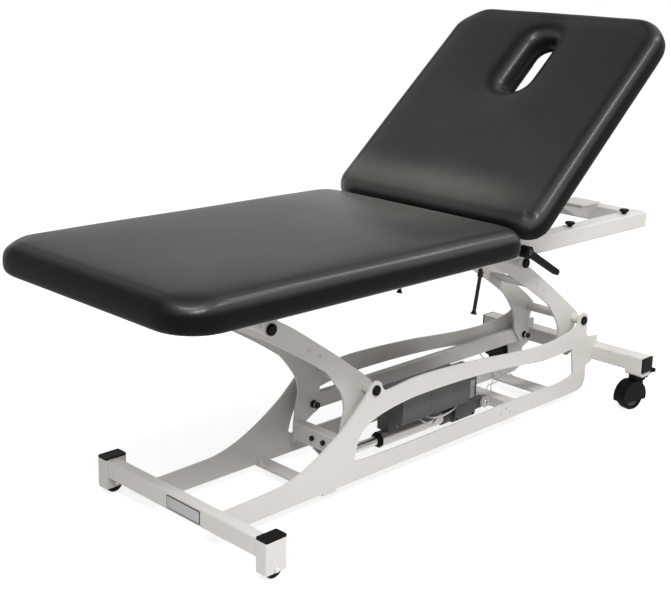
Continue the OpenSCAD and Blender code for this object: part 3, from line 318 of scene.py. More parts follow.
def drawn_aluminium():
    f = Finish("aluminium_tube", Metallic=0.85)
    line = f.noise(50.0, 5.0, 0.65, f.stretched(0.6, 40.0, 40.0))
    spot = f.noise(24.0, 5.0, 0.6).between(0.6, 0.8)
    shade = f.blend(line, (0.47, 0.45, 0.425), (0.60, 0.575, 0.545))
    shade = f.blend(spot * 0.25, shade, (0.40, 0.38, 0.35))
    return f.feed(Base_Color=shade, Roughness=0.30 + line * 0.14, Normal=f.bump(line, 0.10, 0.0002))


def grey_housing():
    f = Finish("grey_plastic", Specular_IOR_Level=0.45)
    grain = f.cells(900.0)
    fine = f.noise(1500.0, 2.0)
    cloud = f.noise(12.0, 5.0, 0.6)
    dust = f.noise(40.0, 6.0, 0.7).between(0.58, 0.78)
    x = f.node("ShaderNodeSeparateXYZ", {}, {0: f.place}, 0)
    seam = 1 - (x - MOTOR_SEAM).math("ABSOLUTE").between(SEAM_HALF, SEAM_HALF + SEAM_BLUR)
    shade = f.blend(cloud, (0.052, 0.052, 0.047), (0.070, 0.070, 0.064))
    shade = f.blend(dust * 0.30, shade, (0.12, 0.118, 0.11))
    shade = f.blend(seam * 0.8, shade, (0.008, 0.008, 0.007))
    grain = f.bump(grain * 0.7 + fine * 0.3, 0.28, 0.0003)
    return f.feed(Base_Color=shade, Roughness=0.46 + fine * 0.12,
                  Normal=f.bump(1 - seam, 0.6, 0.0015, grain))


def lead_sheath():
    f = Finish("lead")
    grain = f.noise(300.0, 3.0)
    cloud = f.noise(30.0, 4.0)
    shade = f.blend(cloud, (0.52, 0.51, 0.49), (0.62, 0.61, 0.59))
    return f.feed(Base_Color=shade, Roughness=0.45 + grain * 0.15, Normal=f.bump(grain, 0.15, 0.0002))


steel = bright_steel()
dress(steel, "base_bolts", "pivot_shafts", "actuator_rod")
dress(capped_bolt(), "foot_arm_bolts", "head_arm_bolt")
aluminium = drawn_aluminium()
dress(grey_housing(), "actuator_gearbox", "actuator_motor")
dress(lead_sheath(), "motor_leads", "base_leads")
print("actuator finishes done")

# %% [markdown]
# ## Upholstery vinyl
# Charcoal vinyl is pressed with a fine leather grain: small pebbles about a millimetre across, with
# creases between them, over slower swells of the foam. Where people lie and slide, the top has taken
# a soft polish, a coat that the sides lack, and its colour is painted a little lighter than the sides
# as a painted sheen, with painted highlights on the long sides' bead and the slot's roll and painted
# dark bands beside them. Next to the hinge both cushions get a grey band, a painted reflection. The
# skins carry these as attributes named polish_and_sheen and rub_and_sheen: the first adds the coat and
# the painted sheen, the second paints the grey band. The grain reads the cushion's own coordinates, so
# it is the same size everywhere.


# %% Vinyl
def vinyl():
    f = Finish("vinyl", Specular_IOR_Level=0.3, IOR=1.20, Coat_Roughness=0.28, Coat_IOR=1.5,
               Coat_Tint=(1.0, 0.985, 0.955, 1.0))
    drift = f.node("ShaderNodeVectorMath", {"operation": "SCALE"},
                   {0: f.noise(300.0, 3.0), "Scale": 0.0012})
    bent = f.node("ShaderNodeVectorMath", {"operation": "ADD"}, {0: f.place, 1: drift})
    pebble = f.cells(760.0, "DISTANCE_TO_EDGE", bent).between(0.0, 0.35)
    pore = f.noise(1600.0, 3.0, 0.6)
    swell = f.noise(7.0, 3.0, 0.5)
    wear = f.noise(3.0, 6.0, 0.6).between(0.45, 0.75)
    polish_and_sheen = f.attribute("polish_and_sheen")
    shade = f.blend(pebble, (0.0026, 0.0025, 0.0019), (0.0056, 0.0054, 0.0043))
    # This lightens the top's colour where the polish is: a painted sheen, with painted highlights on the
    # bead and the slot's roll and painted dark bands beside them.
    shade = f.blend(polish_and_sheen * 0.6 + wear * polish_and_sheen * 0.3, shade, (0.020, 0.0198, 0.0180))
    # The grey band next to the hinge is a painted reflection.
    shade = f.blend(f.attribute("rub_and_sheen") * (0.55 + wear * 0.25), shade, (0.130, 0.127, 0.115))
    grain = f.bump(pebble * 0.8 + pore * 0.2, 0.10, 0.0003)
    return f.feed(Base_Color=shade, Roughness=0.36 + (1 - pebble) * 0.10 + swell * 0.08,
                  Coat_Weight=polish_and_sheen * (0.27 + swell * 0.14 + wear * 0.05),
                  Normal=f.bump(swell, 0.10, 0.006, grain))


upholstery = vinyl()
print("vinyl ready")

# %% [markdown]
# ## A skin through rings
# Every soft shape here is a closed skin: rings of points stacked along a profile, each joined to the
# next, with a fan over each end. The rings are computed as one array, rows by points by three.


# %% Skins
def skin(name, rings, smooth=True):
    """Point (row, column) joins its four neighbours; columns wrap round; one point closes each end."""
    rows, cols, _ = rings.shape
    points = np.concatenate([rings.reshape(-1, 3), rings[[0, -1]].mean(axis=1)])
    row, col = np.meshgrid(np.arange(rows - 1), np.arange(cols), indexing="ij")
    here, ahead = row * cols + col, row * cols + (col + 1) % cols
    quads = np.stack([here, ahead, ahead + cols, here + cols], -1)
    edge = np.arange(cols)
    after = (edge + 1) % cols
    last = (rows - 1) * cols
    low = np.stack([np.full(cols, rows * cols), after, edge], -1)
    high = np.stack([np.full(cols, rows * cols + 1), last + edge, last + after], -1)
    faces = quads.reshape(-1, 4).tolist() + low.tolist() + high.tolist()
    mesh = bpy.data.meshes.new(name)
    mesh.from_pydata(points.tolist(), [], faces)
    mesh.polygons.foreach_set("use_smooth", np.full(len(mesh.polygons), smooth))
    piece = bpy.data.objects.new(name, mesh)
    bpy.context.scene.collection.objects.link(piece)
    return piece


def plan_rings(x0, x1, half, r0, r1, inset, z, steps=13):
    """Round-cornered plans, one for each inset and height: four arcs, their radii less by the inset."""
    centre = np.array([(x1 - r1, half - r1), (x0 + r0, half - r0),
                       (x0 + r0, r0 - half), (x1 - r1, r1 - half)])
    radius = np.array([r1, r0, r0, r1])
    turn = np.radians(np.arange(4)[:, None] * 90 + np.linspace(0, 90, steps)[None, :])
    arm = radius[None, :, None] - np.asarray(inset)[:, None, None]
    x = centre[None, :, 0, None] + arm * np.cos(turn)[None]
    y = centre[None, :, 1, None] + arm * np.sin(turn)[None]
    flat = np.stack([x, y, np.broadcast_to(np.asarray(z)[:, None, None], x.shape)], -1)
    return flat.reshape(len(inset), -1, 3)


def coordinates(mesh):
    flat = np.empty(len(mesh.vertices) * 3)
    mesh.vertices.foreach_get("co", flat)
    return flat.reshape(-1, 3)


def move_points(mesh, points):
    mesh.vertices.foreach_set("co", np.ascontiguousarray(points).ravel())
    mesh.update()


print("skin tools ready")

# %% [markdown]
# ## The cushion blank
# An upholsterer glues a foam block to a board, rounds its shoulder, and pulls the vinyl over both, down
# round the board's edge, where it is stapled underneath. The blank is that block with its board: a
# radius below, a wider one above, and a slow crown across the top. It is drawn a few millimetres
# large, because the cloth step and the ironing draw it in again. A plan is four numbers: where it
# starts and ends along x, and its corner radius at either end.

# %% Cushion blank
FOOT_LOW, FOOT_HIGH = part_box("foot_cushion")
PAD_HALF = FOOT_HIGH.y
PAD_Z, PAD_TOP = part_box("foot_board")[0].z, FOOT_HIGH.z
CORNER_OUT, CORNER_IN = 0.095, 0.052
SHOULDER, LOWER_EDGE, CROWN = 0.027, 0.018, 0.006
DRAWN_LARGE = 0.003
LOW_STEPS, TOP_STEPS, DOME_STEPS, DOME_END = 6, 12, 26, 0.04
FOOT_PLAN = (FOOT_LOW.x, FOOT_HIGH.x, CORNER_OUT, CORNER_IN)


def cushion_blank(name, x0, x1, r0, r1):
    """Profile: a quarter round of LOWER_EDGE, a quarter round of SHOULDER, then rings drawn in to the
    middle while the height rises by CROWN times (1 - share cubed), with share falling from 1 to 0."""
    low = np.radians(np.linspace(-90, 0, LOW_STEPS))
    top = np.radians(np.linspace(0, 90, TOP_STEPS))
    edge_top = PAD_TOP - CROWN + DRAWN_LARGE
    inset = np.concatenate([LOWER_EDGE * (1 - np.cos(low)), SHOULDER * (1 - np.cos(top))])
    inset -= DRAWN_LARGE
    z = np.concatenate([PAD_Z + LOWER_EDGE * (1 + np.sin(low)), edge_top - SHOULDER * (1 - np.sin(top))])
    side = plan_rings(x0, x1, PAD_HALF, r0, r1, inset, z)
    share = np.linspace(1, DOME_END, DOME_STEPS)[1:, None, None]
    middle = np.array([(x0 + x1) / 2, 0, 0])
    dome = middle + (side[-1] - middle) * share
    dome[..., 2] = edge_top + CROWN * (1 - share[..., 0] ** 3)
    return skin(name, np.concatenate([side, dome]))


foot_cushion = cushion_blank("foot_cushion_vinyl", *FOOT_PLAN)
print("foot cushion", [round(v, 3) for v in foot_cushion.dimensions])

# %% [markdown]
# ## The back cushion and its face slot
# The back is drawn flat and turned up about its hinge, so its numbers stay simple. The slot is cut
# with a trumpet-shaped plug: straight below, opening in a quarter round at the top, because the vinyl
# is pulled down into the slot over rounded foam.

# %% Back cushion
JOINT = {joint["name"]: joint for joint in frame["joints"]}
HINGE = Vector(JOINT["back_lift"]["pos_m"])
BACK_UP = math.radians(41)
BACK_TURN = Matrix.Translation(HINGE) @ Matrix.Rotation(-BACK_UP, 4, "Y") @ Matrix.Translation(-HINGE)
BACK_FROM, BACK_TO, SLOT_FROM, SLOT_TO = 0.010, 0.750, 0.442, 0.652
BACK_PLAN = (HINGE.x + BACK_FROM, HINGE.x + BACK_TO, CORNER_IN, CORNER_OUT)
SLOT_X0, SLOT_X1 = HINGE.x + SLOT_FROM, HINGE.x + SLOT_TO
SLOT_HALF, SLOT_ROUND, PLUG_OVER = 0.039, 0.036, 0.020
PLUG_STEPS = 11


def slot_plug(name):
    """A stadium whose outline grows by R - sqrt(R squared - h squared) over the last R below the top."""
    h = np.linspace(0, 1, PLUG_STEPS) * SLOT_ROUND
    grow = SLOT_ROUND - np.sqrt(np.maximum(SLOT_ROUND ** 2 - h ** 2, 0))
    round_from = PAD_TOP - CROWN / 2 - SLOT_ROUND
    z = np.concatenate([[PAD_Z - PLUG_OVER], round_from + h, [PAD_TOP + PLUG_OVER]])
    grow = np.concatenate([[0], grow, [SLOT_ROUND]])
    return skin(name, plan_rings(SLOT_X0, SLOT_X1, SLOT_HALF, SLOT_HALF, SLOT_HALF, -grow, z))


def apply_modifiers(piece):
    """Keep the shape that the modifiers make, and drop them."""
    graph = bpy.context.evaluated_depsgraph_get()
    made = bpy.data.meshes.new_from_object(piece.evaluated_get(graph))
    piece.modifiers.clear()
    old, piece.data = piece.data, made
    bpy.data.meshes.remove(old)


def cut_slot(cushion):
    plug = slot_plug("slot_plug")
    cut = cushion.modifiers.new("slot", "BOOLEAN")
    cut.object = plug
    cut.operation = "DIFFERENCE"
    cut.solver = "EXACT"
    apply_modifiers(cushion)
    bpy.data.objects.remove(plug)


back_cushion = cushion_blank("back_cushion_vinyl", *BACK_PLAN)
cut_slot(back_cushion)
print("back cushion", len(back_cushion.data.vertices), "points after the slot is cut")

# %% [markdown]
# ## Swelling the foam
# Cloth with a little inner pressure pulls the skin tight, as a stretched cover does: the flats rise,
# the corners draw in and the slot's rim rolls. The underside is held, as the staples hold it. The
# move of each point is capped, so the cushion keeps its size, and evened out among its neighbours,
# because good upholstery shows no creases. Then the skin is ironed and subdivided once.

# %% Cloth
VOXEL, SWELL_CAP = 0.006, 0.006
FRAMES = 20
EVEN_ROUNDS, IRON_ROUNDS = 120, 30
HELD_BELOW = PAD_Z + LOWER_EDGE * 0.8
TINY = 1e-9


def voxel_remesh(piece, size):
    remesh = piece.modifiers.new("remesh", "REMESH")
    remesh.mode = "VOXEL"
    remesh.voxel_size = size
    remesh.use_smooth_shade = True
    apply_modifiers(piece)


def even_out(piece, move, rounds):
    """Each point's move becomes the mean of its own and its neighbours' mean, round after round: the
    swell stays and its small creases go."""
    ends = np.empty(len(piece.data.edges) * 2, dtype=np.int32)
    piece.data.edges.foreach_get("vertices", ends)
    ends = ends.reshape(-1, 2)
    ends = np.concatenate([ends, ends[:, ::-1]])
    count = np.bincount(ends[:, 0], minlength=len(move))[:, None]
    for _ in range(rounds):
        total = [np.bincount(ends[:, 0], move[ends[:, 1], axis], len(move)) for axis in range(3)]
        move = (move + np.stack(total, axis=1) / count) / 2
    return move


def swell(piece):
    """Run cloth with inner pressure, limit each point's move to SWELL_CAP, and even the moves out."""
    start = coordinates(piece.data)
    held = piece.vertex_groups.new(name="held")
    held.add(np.flatnonzero(start[:, 2] < HELD_BELOW).tolist(), 1.0, "REPLACE")
    cloth = piece.modifiers.new("cloth", "CLOTH")
    settings = cloth.settings
    settings.quality = 5
    settings.mass = 0.4
    settings.tension_stiffness = 18
    settings.compression_stiffness = 18
    settings.shear_stiffness = 8
    settings.bending_stiffness = 1.5
    settings.use_pressure = True
    settings.uniform_pressure_force = 4
    settings.vertex_group_mass = "held"
    settings.effector_weights.gravity = 0
    cloth.collision_settings.use_self_collision = False
    cloth.point_cache.frame_start, cloth.point_cache.frame_end = 1, FRAMES
    for number in range(1, FRAMES + 1):
        bpy.context.scene.frame_set(number)
    graph = bpy.context.evaluated_depsgraph_get()
    moved = coordinates(piece.evaluated_get(graph).data) - start
    piece.modifiers.clear()
    piece.vertex_groups.clear()
    bpy.context.scene.frame_set(1)
    length = np.linalg.norm(moved, axis=1, keepdims=True)
    capped = moved * np.minimum(1, SWELL_CAP / np.maximum(length, TINY))
    moved = even_out(piece, capped, EVEN_ROUNDS)
    move_points(piece.data, start + moved)
    mean = float(np.linalg.norm(moved, axis=1).mean())
    print(piece.name, len(start), "points, mean swell", round(mean * 1000, 2), "mm")


def relax(piece, rounds):
    """Each point goes half way to its neighbours' mean, round after round: the voxels' steps go."""
    iron = piece.modifiers.new("iron", "SMOOTH")
    iron.factor, iron.iterations = 0.5, rounds
    apply_modifiers(piece)


def subdivide(piece):
    """One smoothing subdivision: each quad becomes four, so the rims and the shoulder read as curves."""
    finer = piece.modifiers.new("finer", "SUBSURF")
    finer.levels = finer.render_levels = 1
    apply_modifiers(piece)


for cushion in (foot_cushion, back_cushion):
    voxel_remesh(cushion, VOXEL)
    swell(cushion)
    relax(cushion, IRON_ROUNDS)
    subdivide(cushion)
    print(cushion.name, len(cushion.data.polygons), "faces")

# %% [markdown]
# ## Pulled vinyl
# A cover that is stretched over corners gathers a little, and along the long sides the foam's
# shoulder stands up as a soft bead with a shallow trough behind it. Both are shallow waves, added
# by moving points along z or outwards by formulas of their distance from the edge and the corner.
# A line that runs round a cushion is given by its middle, counted from the edge, and its width.

# %% Beads and gathers
TROUGH_LINE, DROOP_LINE, GATHER_REACH = (0.036, 0.016), (0.0, 0.035), 0.06
# Of these, the lines behind the bead and round the slot set painted dark bands, and the bead's line and
# the slot roll's line set painted highlights, in the vinyl's colour and coat.
DARK_BAND_LINE, BEAD_HIGHLIGHT_LINE, FLAT_END = (0.030, 0.009), (0.009, 0.010), (0.008, 0.016)
SLOT_DARK_BAND, SLOT_ROLL_HIGHLIGHT = (0.032, 0.012), (0.010, 0.009)
SIDE_FROM, SIDE_OVER = 0.09, 0.05


def outline_distance(points, x0, x1, r0, r1):
    """How far inside the plan each point lies, and its angle round the corner: the plan is a box grown
    by its corner radius."""
    corner = np.where(points[:, 0] > (x0 + x1) / 2, r1, r0)
    dx = np.maximum(x0 + corner - points[:, 0], points[:, 0] - x1 + corner)
    dy = np.abs(points[:, 1]) - PAD_HALF + corner
    outside = np.hypot(np.maximum(dx, 0), np.maximum(dy, 0)) + np.minimum(np.maximum(dx, dy), 0)
    return corner - outside, np.arctan2(np.maximum(dy, 0), np.maximum(dx, 1e-6))


def bell(value, middle, width):
    """e to the power of minus the square of the distance from the middle over the width."""
    return np.exp(-((value - middle) / width) ** 2)


def ramp(value, start, over):
    """0 up to the start, then straight up to 1, which it keeps."""
    return np.clip((value - start) / over, 0, 1)


def height_share(points):
    return (points[:, 2] - PAD_Z) / (PAD_TOP - PAD_Z)


def long_side(points):
    """1 next to the two long edges, and 0 from SIDE_FROM inside them on."""
    return ramp(np.abs(points[:, 1]), PAD_HALF - SIDE_FROM, SIDE_OVER)


def pull_vinyl(cushion, plan, trough, droop, gather):
    """z sinks by the trough along a line round the top, most on the long sides. The corners' tops sink by
    the droop, and their skin moves in and out by the gather times a sine of the angle round them."""
    points = coordinates(cushion.data)
    inside, angle = outline_distance(points, *plan)
    height = height_share(points)
    upper = ramp(height, 0.6, 0.3)
    along = 0.65 + 0.35 * np.sin(points[:, 0] * 9.0 + 1.0) * np.sin(points[:, 0] * 4.1)
    sides = 0.25 + 0.75 * long_side(points)
    corner = np.sin(2 * angle) ** 2
    points[:, 2] -= trough * upper * bell(inside, *TROUGH_LINE) * along * sides
    points[:, 2] -= droop * upper * bell(inside, *DROOP_LINE) * corner
    wave = np.sin(angle * 11.0 + points[:, 0] * 3.0) * bell(height, 0.30, 0.3)
    centre = np.array([(plan[0] + plan[1]) / 2, 0.0])
    outward = points[:, :2] - centre
    outward /= np.maximum(np.linalg.norm(outward, axis=1, keepdims=True), TINY)
    points[:, :2] += outward * (gather * corner * (inside < GATHER_REACH) * wave)[:, None]
    move_points(cushion.data, points)


def from_slot(points):
    """How far outside the slot each point lies: the slot is a line on the cushion's axis, grown by its
    half width."""
    on_axis = np.clip(points[:, 0], SLOT_X0 + SLOT_HALF, SLOT_X1 - SLOT_HALF)
    return np.hypot(points[:, 0] - on_axis, points[:, 1]) - SLOT_HALF


def mark_polish_and_sheen(cushion, plan, hinge_x, fade, rub_and_sheen, slotted=False):
    """polish_and_sheen rises from 0 to 1 between 54 and 82 percent of the height, as 3s^2 - 2s^3: a coat
    and a painted sheen on the top. It fades away from the hinge, is lowered in a painted dark band behind
    the bead, doubled as a painted highlight on the long sides' bead and gone at the ends' edges. Where
    there is a slot it is lowered in a painted dark band round it and doubled as a painted highlight on
    its roll.
    rub_and_sheen is a painted reflection, one or more bells of the distance from the hinge edge: share,
    middle, width. It is faint at the near side."""
    points = coordinates(cushion.data)
    inside, _ = outline_distance(points, *plan)
    from_hinge = np.abs(points[:, 0] - hinge_x)
    height = height_share(points)
    rise = ramp(height, 0.54, 0.28)
    top = rise * rise * (3 - 2 * rise)
    sides = long_side(points)
    # Here the polish is a coat on the top and a painted sheen in its colour; the dark bands and the
    # doubled bead and roll below are painted shade and painted highlights.
    polish_and_sheen = top * (1 - fade * from_hinge) * (1 - 0.6 * bell(inside, *DARK_BAND_LINE))
    polish_and_sheen += np.clip(top * 1.5, 0, 1) * bell(inside, *BEAD_HIGHLIGHT_LINE) * sides
    polish_and_sheen *= 1 - (1 - sides) * (1 - ramp(inside, *FLAT_END))
    if slotted:
        slot = from_slot(points)
        polish_and_sheen *= 1 - 0.8 * bell(slot, *SLOT_DARK_BAND)
        polish_and_sheen += bell(slot, *SLOT_ROLL_HIGHLIGHT) * (height > 0.5)
    # This grey band next to the hinge is a painted reflection, fainter towards the near side.
    painted_sheen = top * sum(share * bell(from_hinge, middle, width) for share, middle, width in rub_and_sheen)
    painted_sheen *= np.maximum(ramp(points[:, 1], -0.33, 0.25), 0.15)
    for name, value in (("polish_and_sheen", polish_and_sheen), ("rub_and_sheen", painted_sheen)):
        cushion.data.attributes.new(name, "FLOAT", "POINT").data.foreach_set("value", value)


pull_vinyl(foot_cushion, FOOT_PLAN, trough=0.0020, droop=0.007, gather=0.0005)
pull_vinyl(back_cushion, BACK_PLAN, trough=0.0014, droop=0.005, gather=0.0005)
mark_polish_and_sheen(foot_cushion, FOOT_PLAN, FOOT_HIGH.x, fade=0.42, rub_and_sheen=[(0.8, 0.03, 0.05), (0.5, 0.14, 0.10)])
mark_polish_and_sheen(back_cushion, BACK_PLAN, BACK_PLAN[0], fade=0.90, rub_and_sheen=[(0.8, 0.07, 0.045)], slotted=True)
back_cushion.data.transform(BACK_TURN)


def fit(piece, finish, body, slot, *stands_for):
    """Give a piece its finish and the body that it moves with, and hide the nodes that it replaces; slot
    is not used.
    """
    piece.data.materials.append(finish)
    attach(piece, body)
    if stands_for:
        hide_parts(*stands_for)


for cushion, nodes, body in ((foot_cushion, ("foot_cushion", "foot_board"), "top_frame"),
                             (back_cushion, ("back_cushion", "back_board"), "back")):
    cushion.data.polygons.foreach_set("use_smooth", np.ones(len(cushion.data.polygons), bool))
    fit(cushion, upholstery, body, "vinyl", *nodes)
print("cushions replace their solids")

# %% [markdown]
# ## Under the cushions
# Turned over, an upholstered board shows a black dust cloth with the vinyl's margin round it, and a row
# of staples. The cloth is a thin bevelled slab, and the staples are one mesh of small bars, laid at
# even steps along the outline.

# %% Dust cloths and staples
CLOTH_IN, STAPLE_IN, STAPLE_PITCH = 0.032, 0.042, 0.040
CLOTH_PROUD, CLOTH_DEEP, CLOTH_BEVEL = 0.0002, 0.002, 0.0003
STAPLE_HALF = np.array([0.0055, 0.0006, 0.0008])


def dust_cloth():
    f = Finish("dust_cloth", Specular_IOR_Level=0.2)
    fibre = f.noise(900.0, 5.0, 0.7)
    lint = f.noise(45.0, 6.0, 0.7).between(0.6, 0.8)
    shade = f.blend(fibre, (0.006, 0.006, 0.006), (0.016, 0.016, 0.016))
    shade = f.blend(lint * 0.3, shade, (0.06, 0.058, 0.055))
    return f.feed(Base_Color=shade, Roughness=0.82 + fibre * 0.12, Normal=f.bump(fibre, 0.4, 0.0004))


def bevelled(name, x0, x1, half, r0, r1, z0, z1, bevel):
    """Four rings: drawn in by the bevel at both faces, full size between them."""
    inset = np.array([bevel, 0, 0, bevel])
    z = np.array([z0, z0 + bevel, z1 - bevel, z1])
    return skin(name, plan_rings(x0, x1, half, r0, r1, inset, z, steps=9), smooth=False)


def boxes(name, centre, along, across, up, half):
    """Each box is its centre plus every sign of its three half axes; corners count in binary."""
    signs = np.stack(np.meshgrid([-1, 1], [-1, 1], [-1, 1], indexing="ij"), -1).reshape(-1, 3) * half
    axes = np.stack([along, across, up], 1)
    points = centre[:, None, :] + np.einsum("sk,nkj->nsj", signs, axes)
    face = np.array([(0, 1, 3, 2), (4, 6, 7, 5), (0, 4, 5, 1),
                     (2, 3, 7, 6), (0, 2, 6, 4), (1, 5, 7, 3)])
    faces = face[None] + 8 * np.arange(len(centre))[:, None, None]
    mesh = bpy.data.meshes.new(name)
    mesh.from_pydata(points.reshape(-1, 3).tolist(), [], faces.reshape(-1, 4).tolist())
    piece = bpy.data.objects.new(name, mesh)
    bpy.context.scene.collection.objects.link(piece)
    return piece


def staples(name, x0, x1, r0, r1):
    """Stops at even steps of arc length along the plan drawn in by STAPLE_IN; each bar lies along its
    stretch."""
    outline = plan_rings(x0, x1, PAD_HALF, r0, r1, np.array([STAPLE_IN]), np.array([PAD_Z]))[0]
    step = np.roll(outline, -1, axis=0) - outline
    length = np.linalg.norm(step, axis=1)
    travelled = np.concatenate([[0], np.cumsum(length)])
    stops = np.arange(STAPLE_PITCH / 2, travelled[-1], STAPLE_PITCH)
    which = np.searchsorted(travelled, stops) - 1
    along = step[which] / length[which, None]
    centre = outline[which] + along * (stops - travelled[which])[:, None]
    up = np.tile([0.0, 0.0, 1.0], (len(stops), 1))
    return boxes(name, centre, along, np.cross(up, along), up, STAPLE_HALF)


cloth = dust_cloth()
for kind, (x0, x1, r0, r1), body in (("foot", FOOT_PLAN, "top_frame"), ("back", BACK_PLAN, "back")):
    panel = bevelled(kind + "_dust_cloth", x0 + CLOTH_IN, x1 - CLOTH_IN, PAD_HALF - CLOTH_IN,
                     r0 - CLOTH_IN / 2, r1 - CLOTH_IN / 2,
                     PAD_Z - CLOTH_PROUD, PAD_Z + CLOTH_DEEP, CLOTH_BEVEL)
    row = staples(kind + "_staples", x0, x1, r0, r1)
    if kind == "back":
        cut_slot(panel)
        panel.data.transform(BACK_TURN)
        row.data.transform(BACK_TURN)
    fit(panel, cloth, body, "board")
    fit(row, steel, body, "steel")
print("dust cloths and staples done")

# %% [markdown]
# ## The actuator's outer tube
# The real tube is an eight-sided extrusion, closed by a black nose that the rod slides through. Both
# are rings carried along the actuator's axis: an eight-sided outline with soft corners, wider or
# narrower from station to station.

# %% Tube and nose
TUBE_LOW, TUBE_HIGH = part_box("actuator_tube")
NOSE_LOW, NOSE_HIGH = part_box("tube_collar")
AXIS_Y, AXIS_Z = (TUBE_LOW.y + TUBE_HIGH.y) / 2, (TUBE_LOW.z + TUBE_HIGH.z) / 2
TO_FLAT, SOFT_CORNER, ROUND_STEPS = 0.0196, 1.05, 96
TUBE_X = [TUBE_LOW.x - 0.004, TUBE_LOW.x - 0.0034, TUBE_HIGH.x]
TUBE_R = [TO_FLAT - 0.0006, TO_FLAT, TO_FLAT]
NOSE_X = [NOSE_LOW.x + 0.001, NOSE_LOW.x + 0.0015, NOSE_HIGH.x - 0.006, NOSE_HIGH.x - 0.0035]
NOSE_R = [0.0138, 0.0145, TO_FLAT + 0.0004, TO_FLAT + 0.0004]


def eight_sided(name, stations, radii):
    """Distance from the axis is r / cos(angle to the middle of the nearest flat), at most a little
    over r, which takes the corners off."""
    angle = np.arange(ROUND_STEPS) * 2 * math.pi / ROUND_STEPS
    off_flat = (angle + math.pi / 8) % (math.pi / 4) - math.pi / 8
    reach = np.minimum(1 / np.cos(off_flat), SOFT_CORNER)[None] * np.asarray(radii)[:, None]
    x = np.broadcast_to(np.asarray(stations)[:, None], reach.shape)
    rings = np.stack([x, AXIS_Y + reach * np.cos(angle), AXIS_Z + reach * np.sin(angle)], -1)
    return skin(name, rings, smooth=False)


tube = eight_sided("tube_profile", TUBE_X, TUBE_R)
nose = eight_sided("tube_nose", NOSE_X, NOSE_R)
fit(tube, aluminium, "actuator", "aluminium_tube", "actuator_tube")
fit(nose, nylon, "actuator", "black_plastic", "tube_collar")
print("tube", [round(v, 3) for v in tube.dimensions])

# %% [markdown]
# ## Turned pieces
# Hub discs and screw heads are profiles turned round an axis. One function makes them from stations
# along the axis and a radius at each.


# %% Turned pieces
def turned(name, origin, axis, stations, radii, points=40):
    """Point = origin + station times axis + radius times (cos a, sin a) in the plane across the axis."""
    axis = np.array(axis, float) / np.linalg.norm(axis)
    side = np.cross(axis, [0, 0, 1] if abs(axis[2]) < 0.9 else [1, 0, 0])
    side /= np.linalg.norm(side)
    other = np.cross(axis, side)
    angle = np.arange(points) * 2 * math.pi / points
    spoke = np.cos(angle)[:, None] * side + np.sin(angle)[:, None] * other
    middle = np.array(origin) + np.asarray(stations)[:, None] * axis
    rings = middle[:, None, :] + np.asarray(radii)[:, None, None] * spoke[None]
    return skin(name, rings, smooth=False)


def hub_grey():
    f = Finish("hub_grey", Specular_IOR_Level=0.3)
    cloud = f.noise(60.0, 5.0, 0.6)
    dust = f.noise(150.0, 6.0, 0.7).between(0.55, 0.75)
    shade = f.blend(cloud, (0.035, 0.035, 0.036), (0.055, 0.055, 0.056))
    shade = f.blend(dust * 0.3, shade, (0.13, 0.125, 0.115))
    return f.feed(Base_Color=shade, Roughness=0.42 + cloud * 0.12, Normal=f.bump(cloud, 0.15, 0.0003))


HUB_X = [-0.0130, -0.0128, -0.0118, 0.0118, 0.0128, 0.0130]
HUB_R = [0.0265, 0.0282, 0.0288, 0.0288, 0.0282, 0.0265]
grey = hub_grey()
for side in ("near", "far"):
    wheel = JOINT["wheel_spin_" + side]
    hub = turned("hub_" + side, wheel["pos_m"], wheel["axis"], HUB_X, HUB_R)
    fit(hub, grey, "wheel_" + side, "grey_plastic")
print("hubs done")

# %% [markdown]
# ## Plates and screws
# Two thin plates are left blank: a satin one with a dark rim on the foot bar, and a pale film on the
# gearbox. Four dark screw heads hold the gearbox's cover.

# %% Plates and screws
FACING_FOOT, FACING_NEAR = ((0, -1, 0), (0, 0, 1)), ((1, 0, 0), (0, 0, 1))
PLATE_Y, PLATE_Z, FACE_STEP = -0.0225, 0.067, 0.0004
FILM_X, FILM_Z = 0.2985, 0.109
SCREW_X, SCREW_Z = (0.256, 0.322), (0.036, 0.158)
SCREW_OUT, SCREW_R = [-0.001, 0.0008, 0.0014], [0.0034, 0.0034, 0.0024]


def plate_finish(name, low, high, metallic, rough):
    f = Finish(name, Metallic=metallic)
    line = f.noise(60.0, 5.0, 0.6, f.stretched(8.0, 0.4, 30.0))
    smudge = f.noise(55.0, 5.0, 0.6).between(0.5, 0.8)
    shade = f.blend(line, low, high)
    shade = f.blend(smudge * 0.2, shade, tuple(c * 0.6 for c in low))
    return f.feed(Base_Color=shade, Roughness=rough + line * 0.1 + smudge * 0.1,
                  Normal=f.bump(line, 0.05, 0.0001))


def slab(name, centre, across, up, width, height, corner, thick):
    """A round-cornered slab on its own axes: across, up, and their cross product, which points out."""
    bevel = thick * 0.3
    piece = bevelled(name, -width / 2, width / 2, height / 2, corner, corner, 0, thick, bevel)
    across, up = Vector(across), Vector(up)
    turn = Matrix((across, up, across.cross(up))).transposed().to_4x4()
    piece.data.transform(Matrix.Translation(centre) @ turn)
    return piece


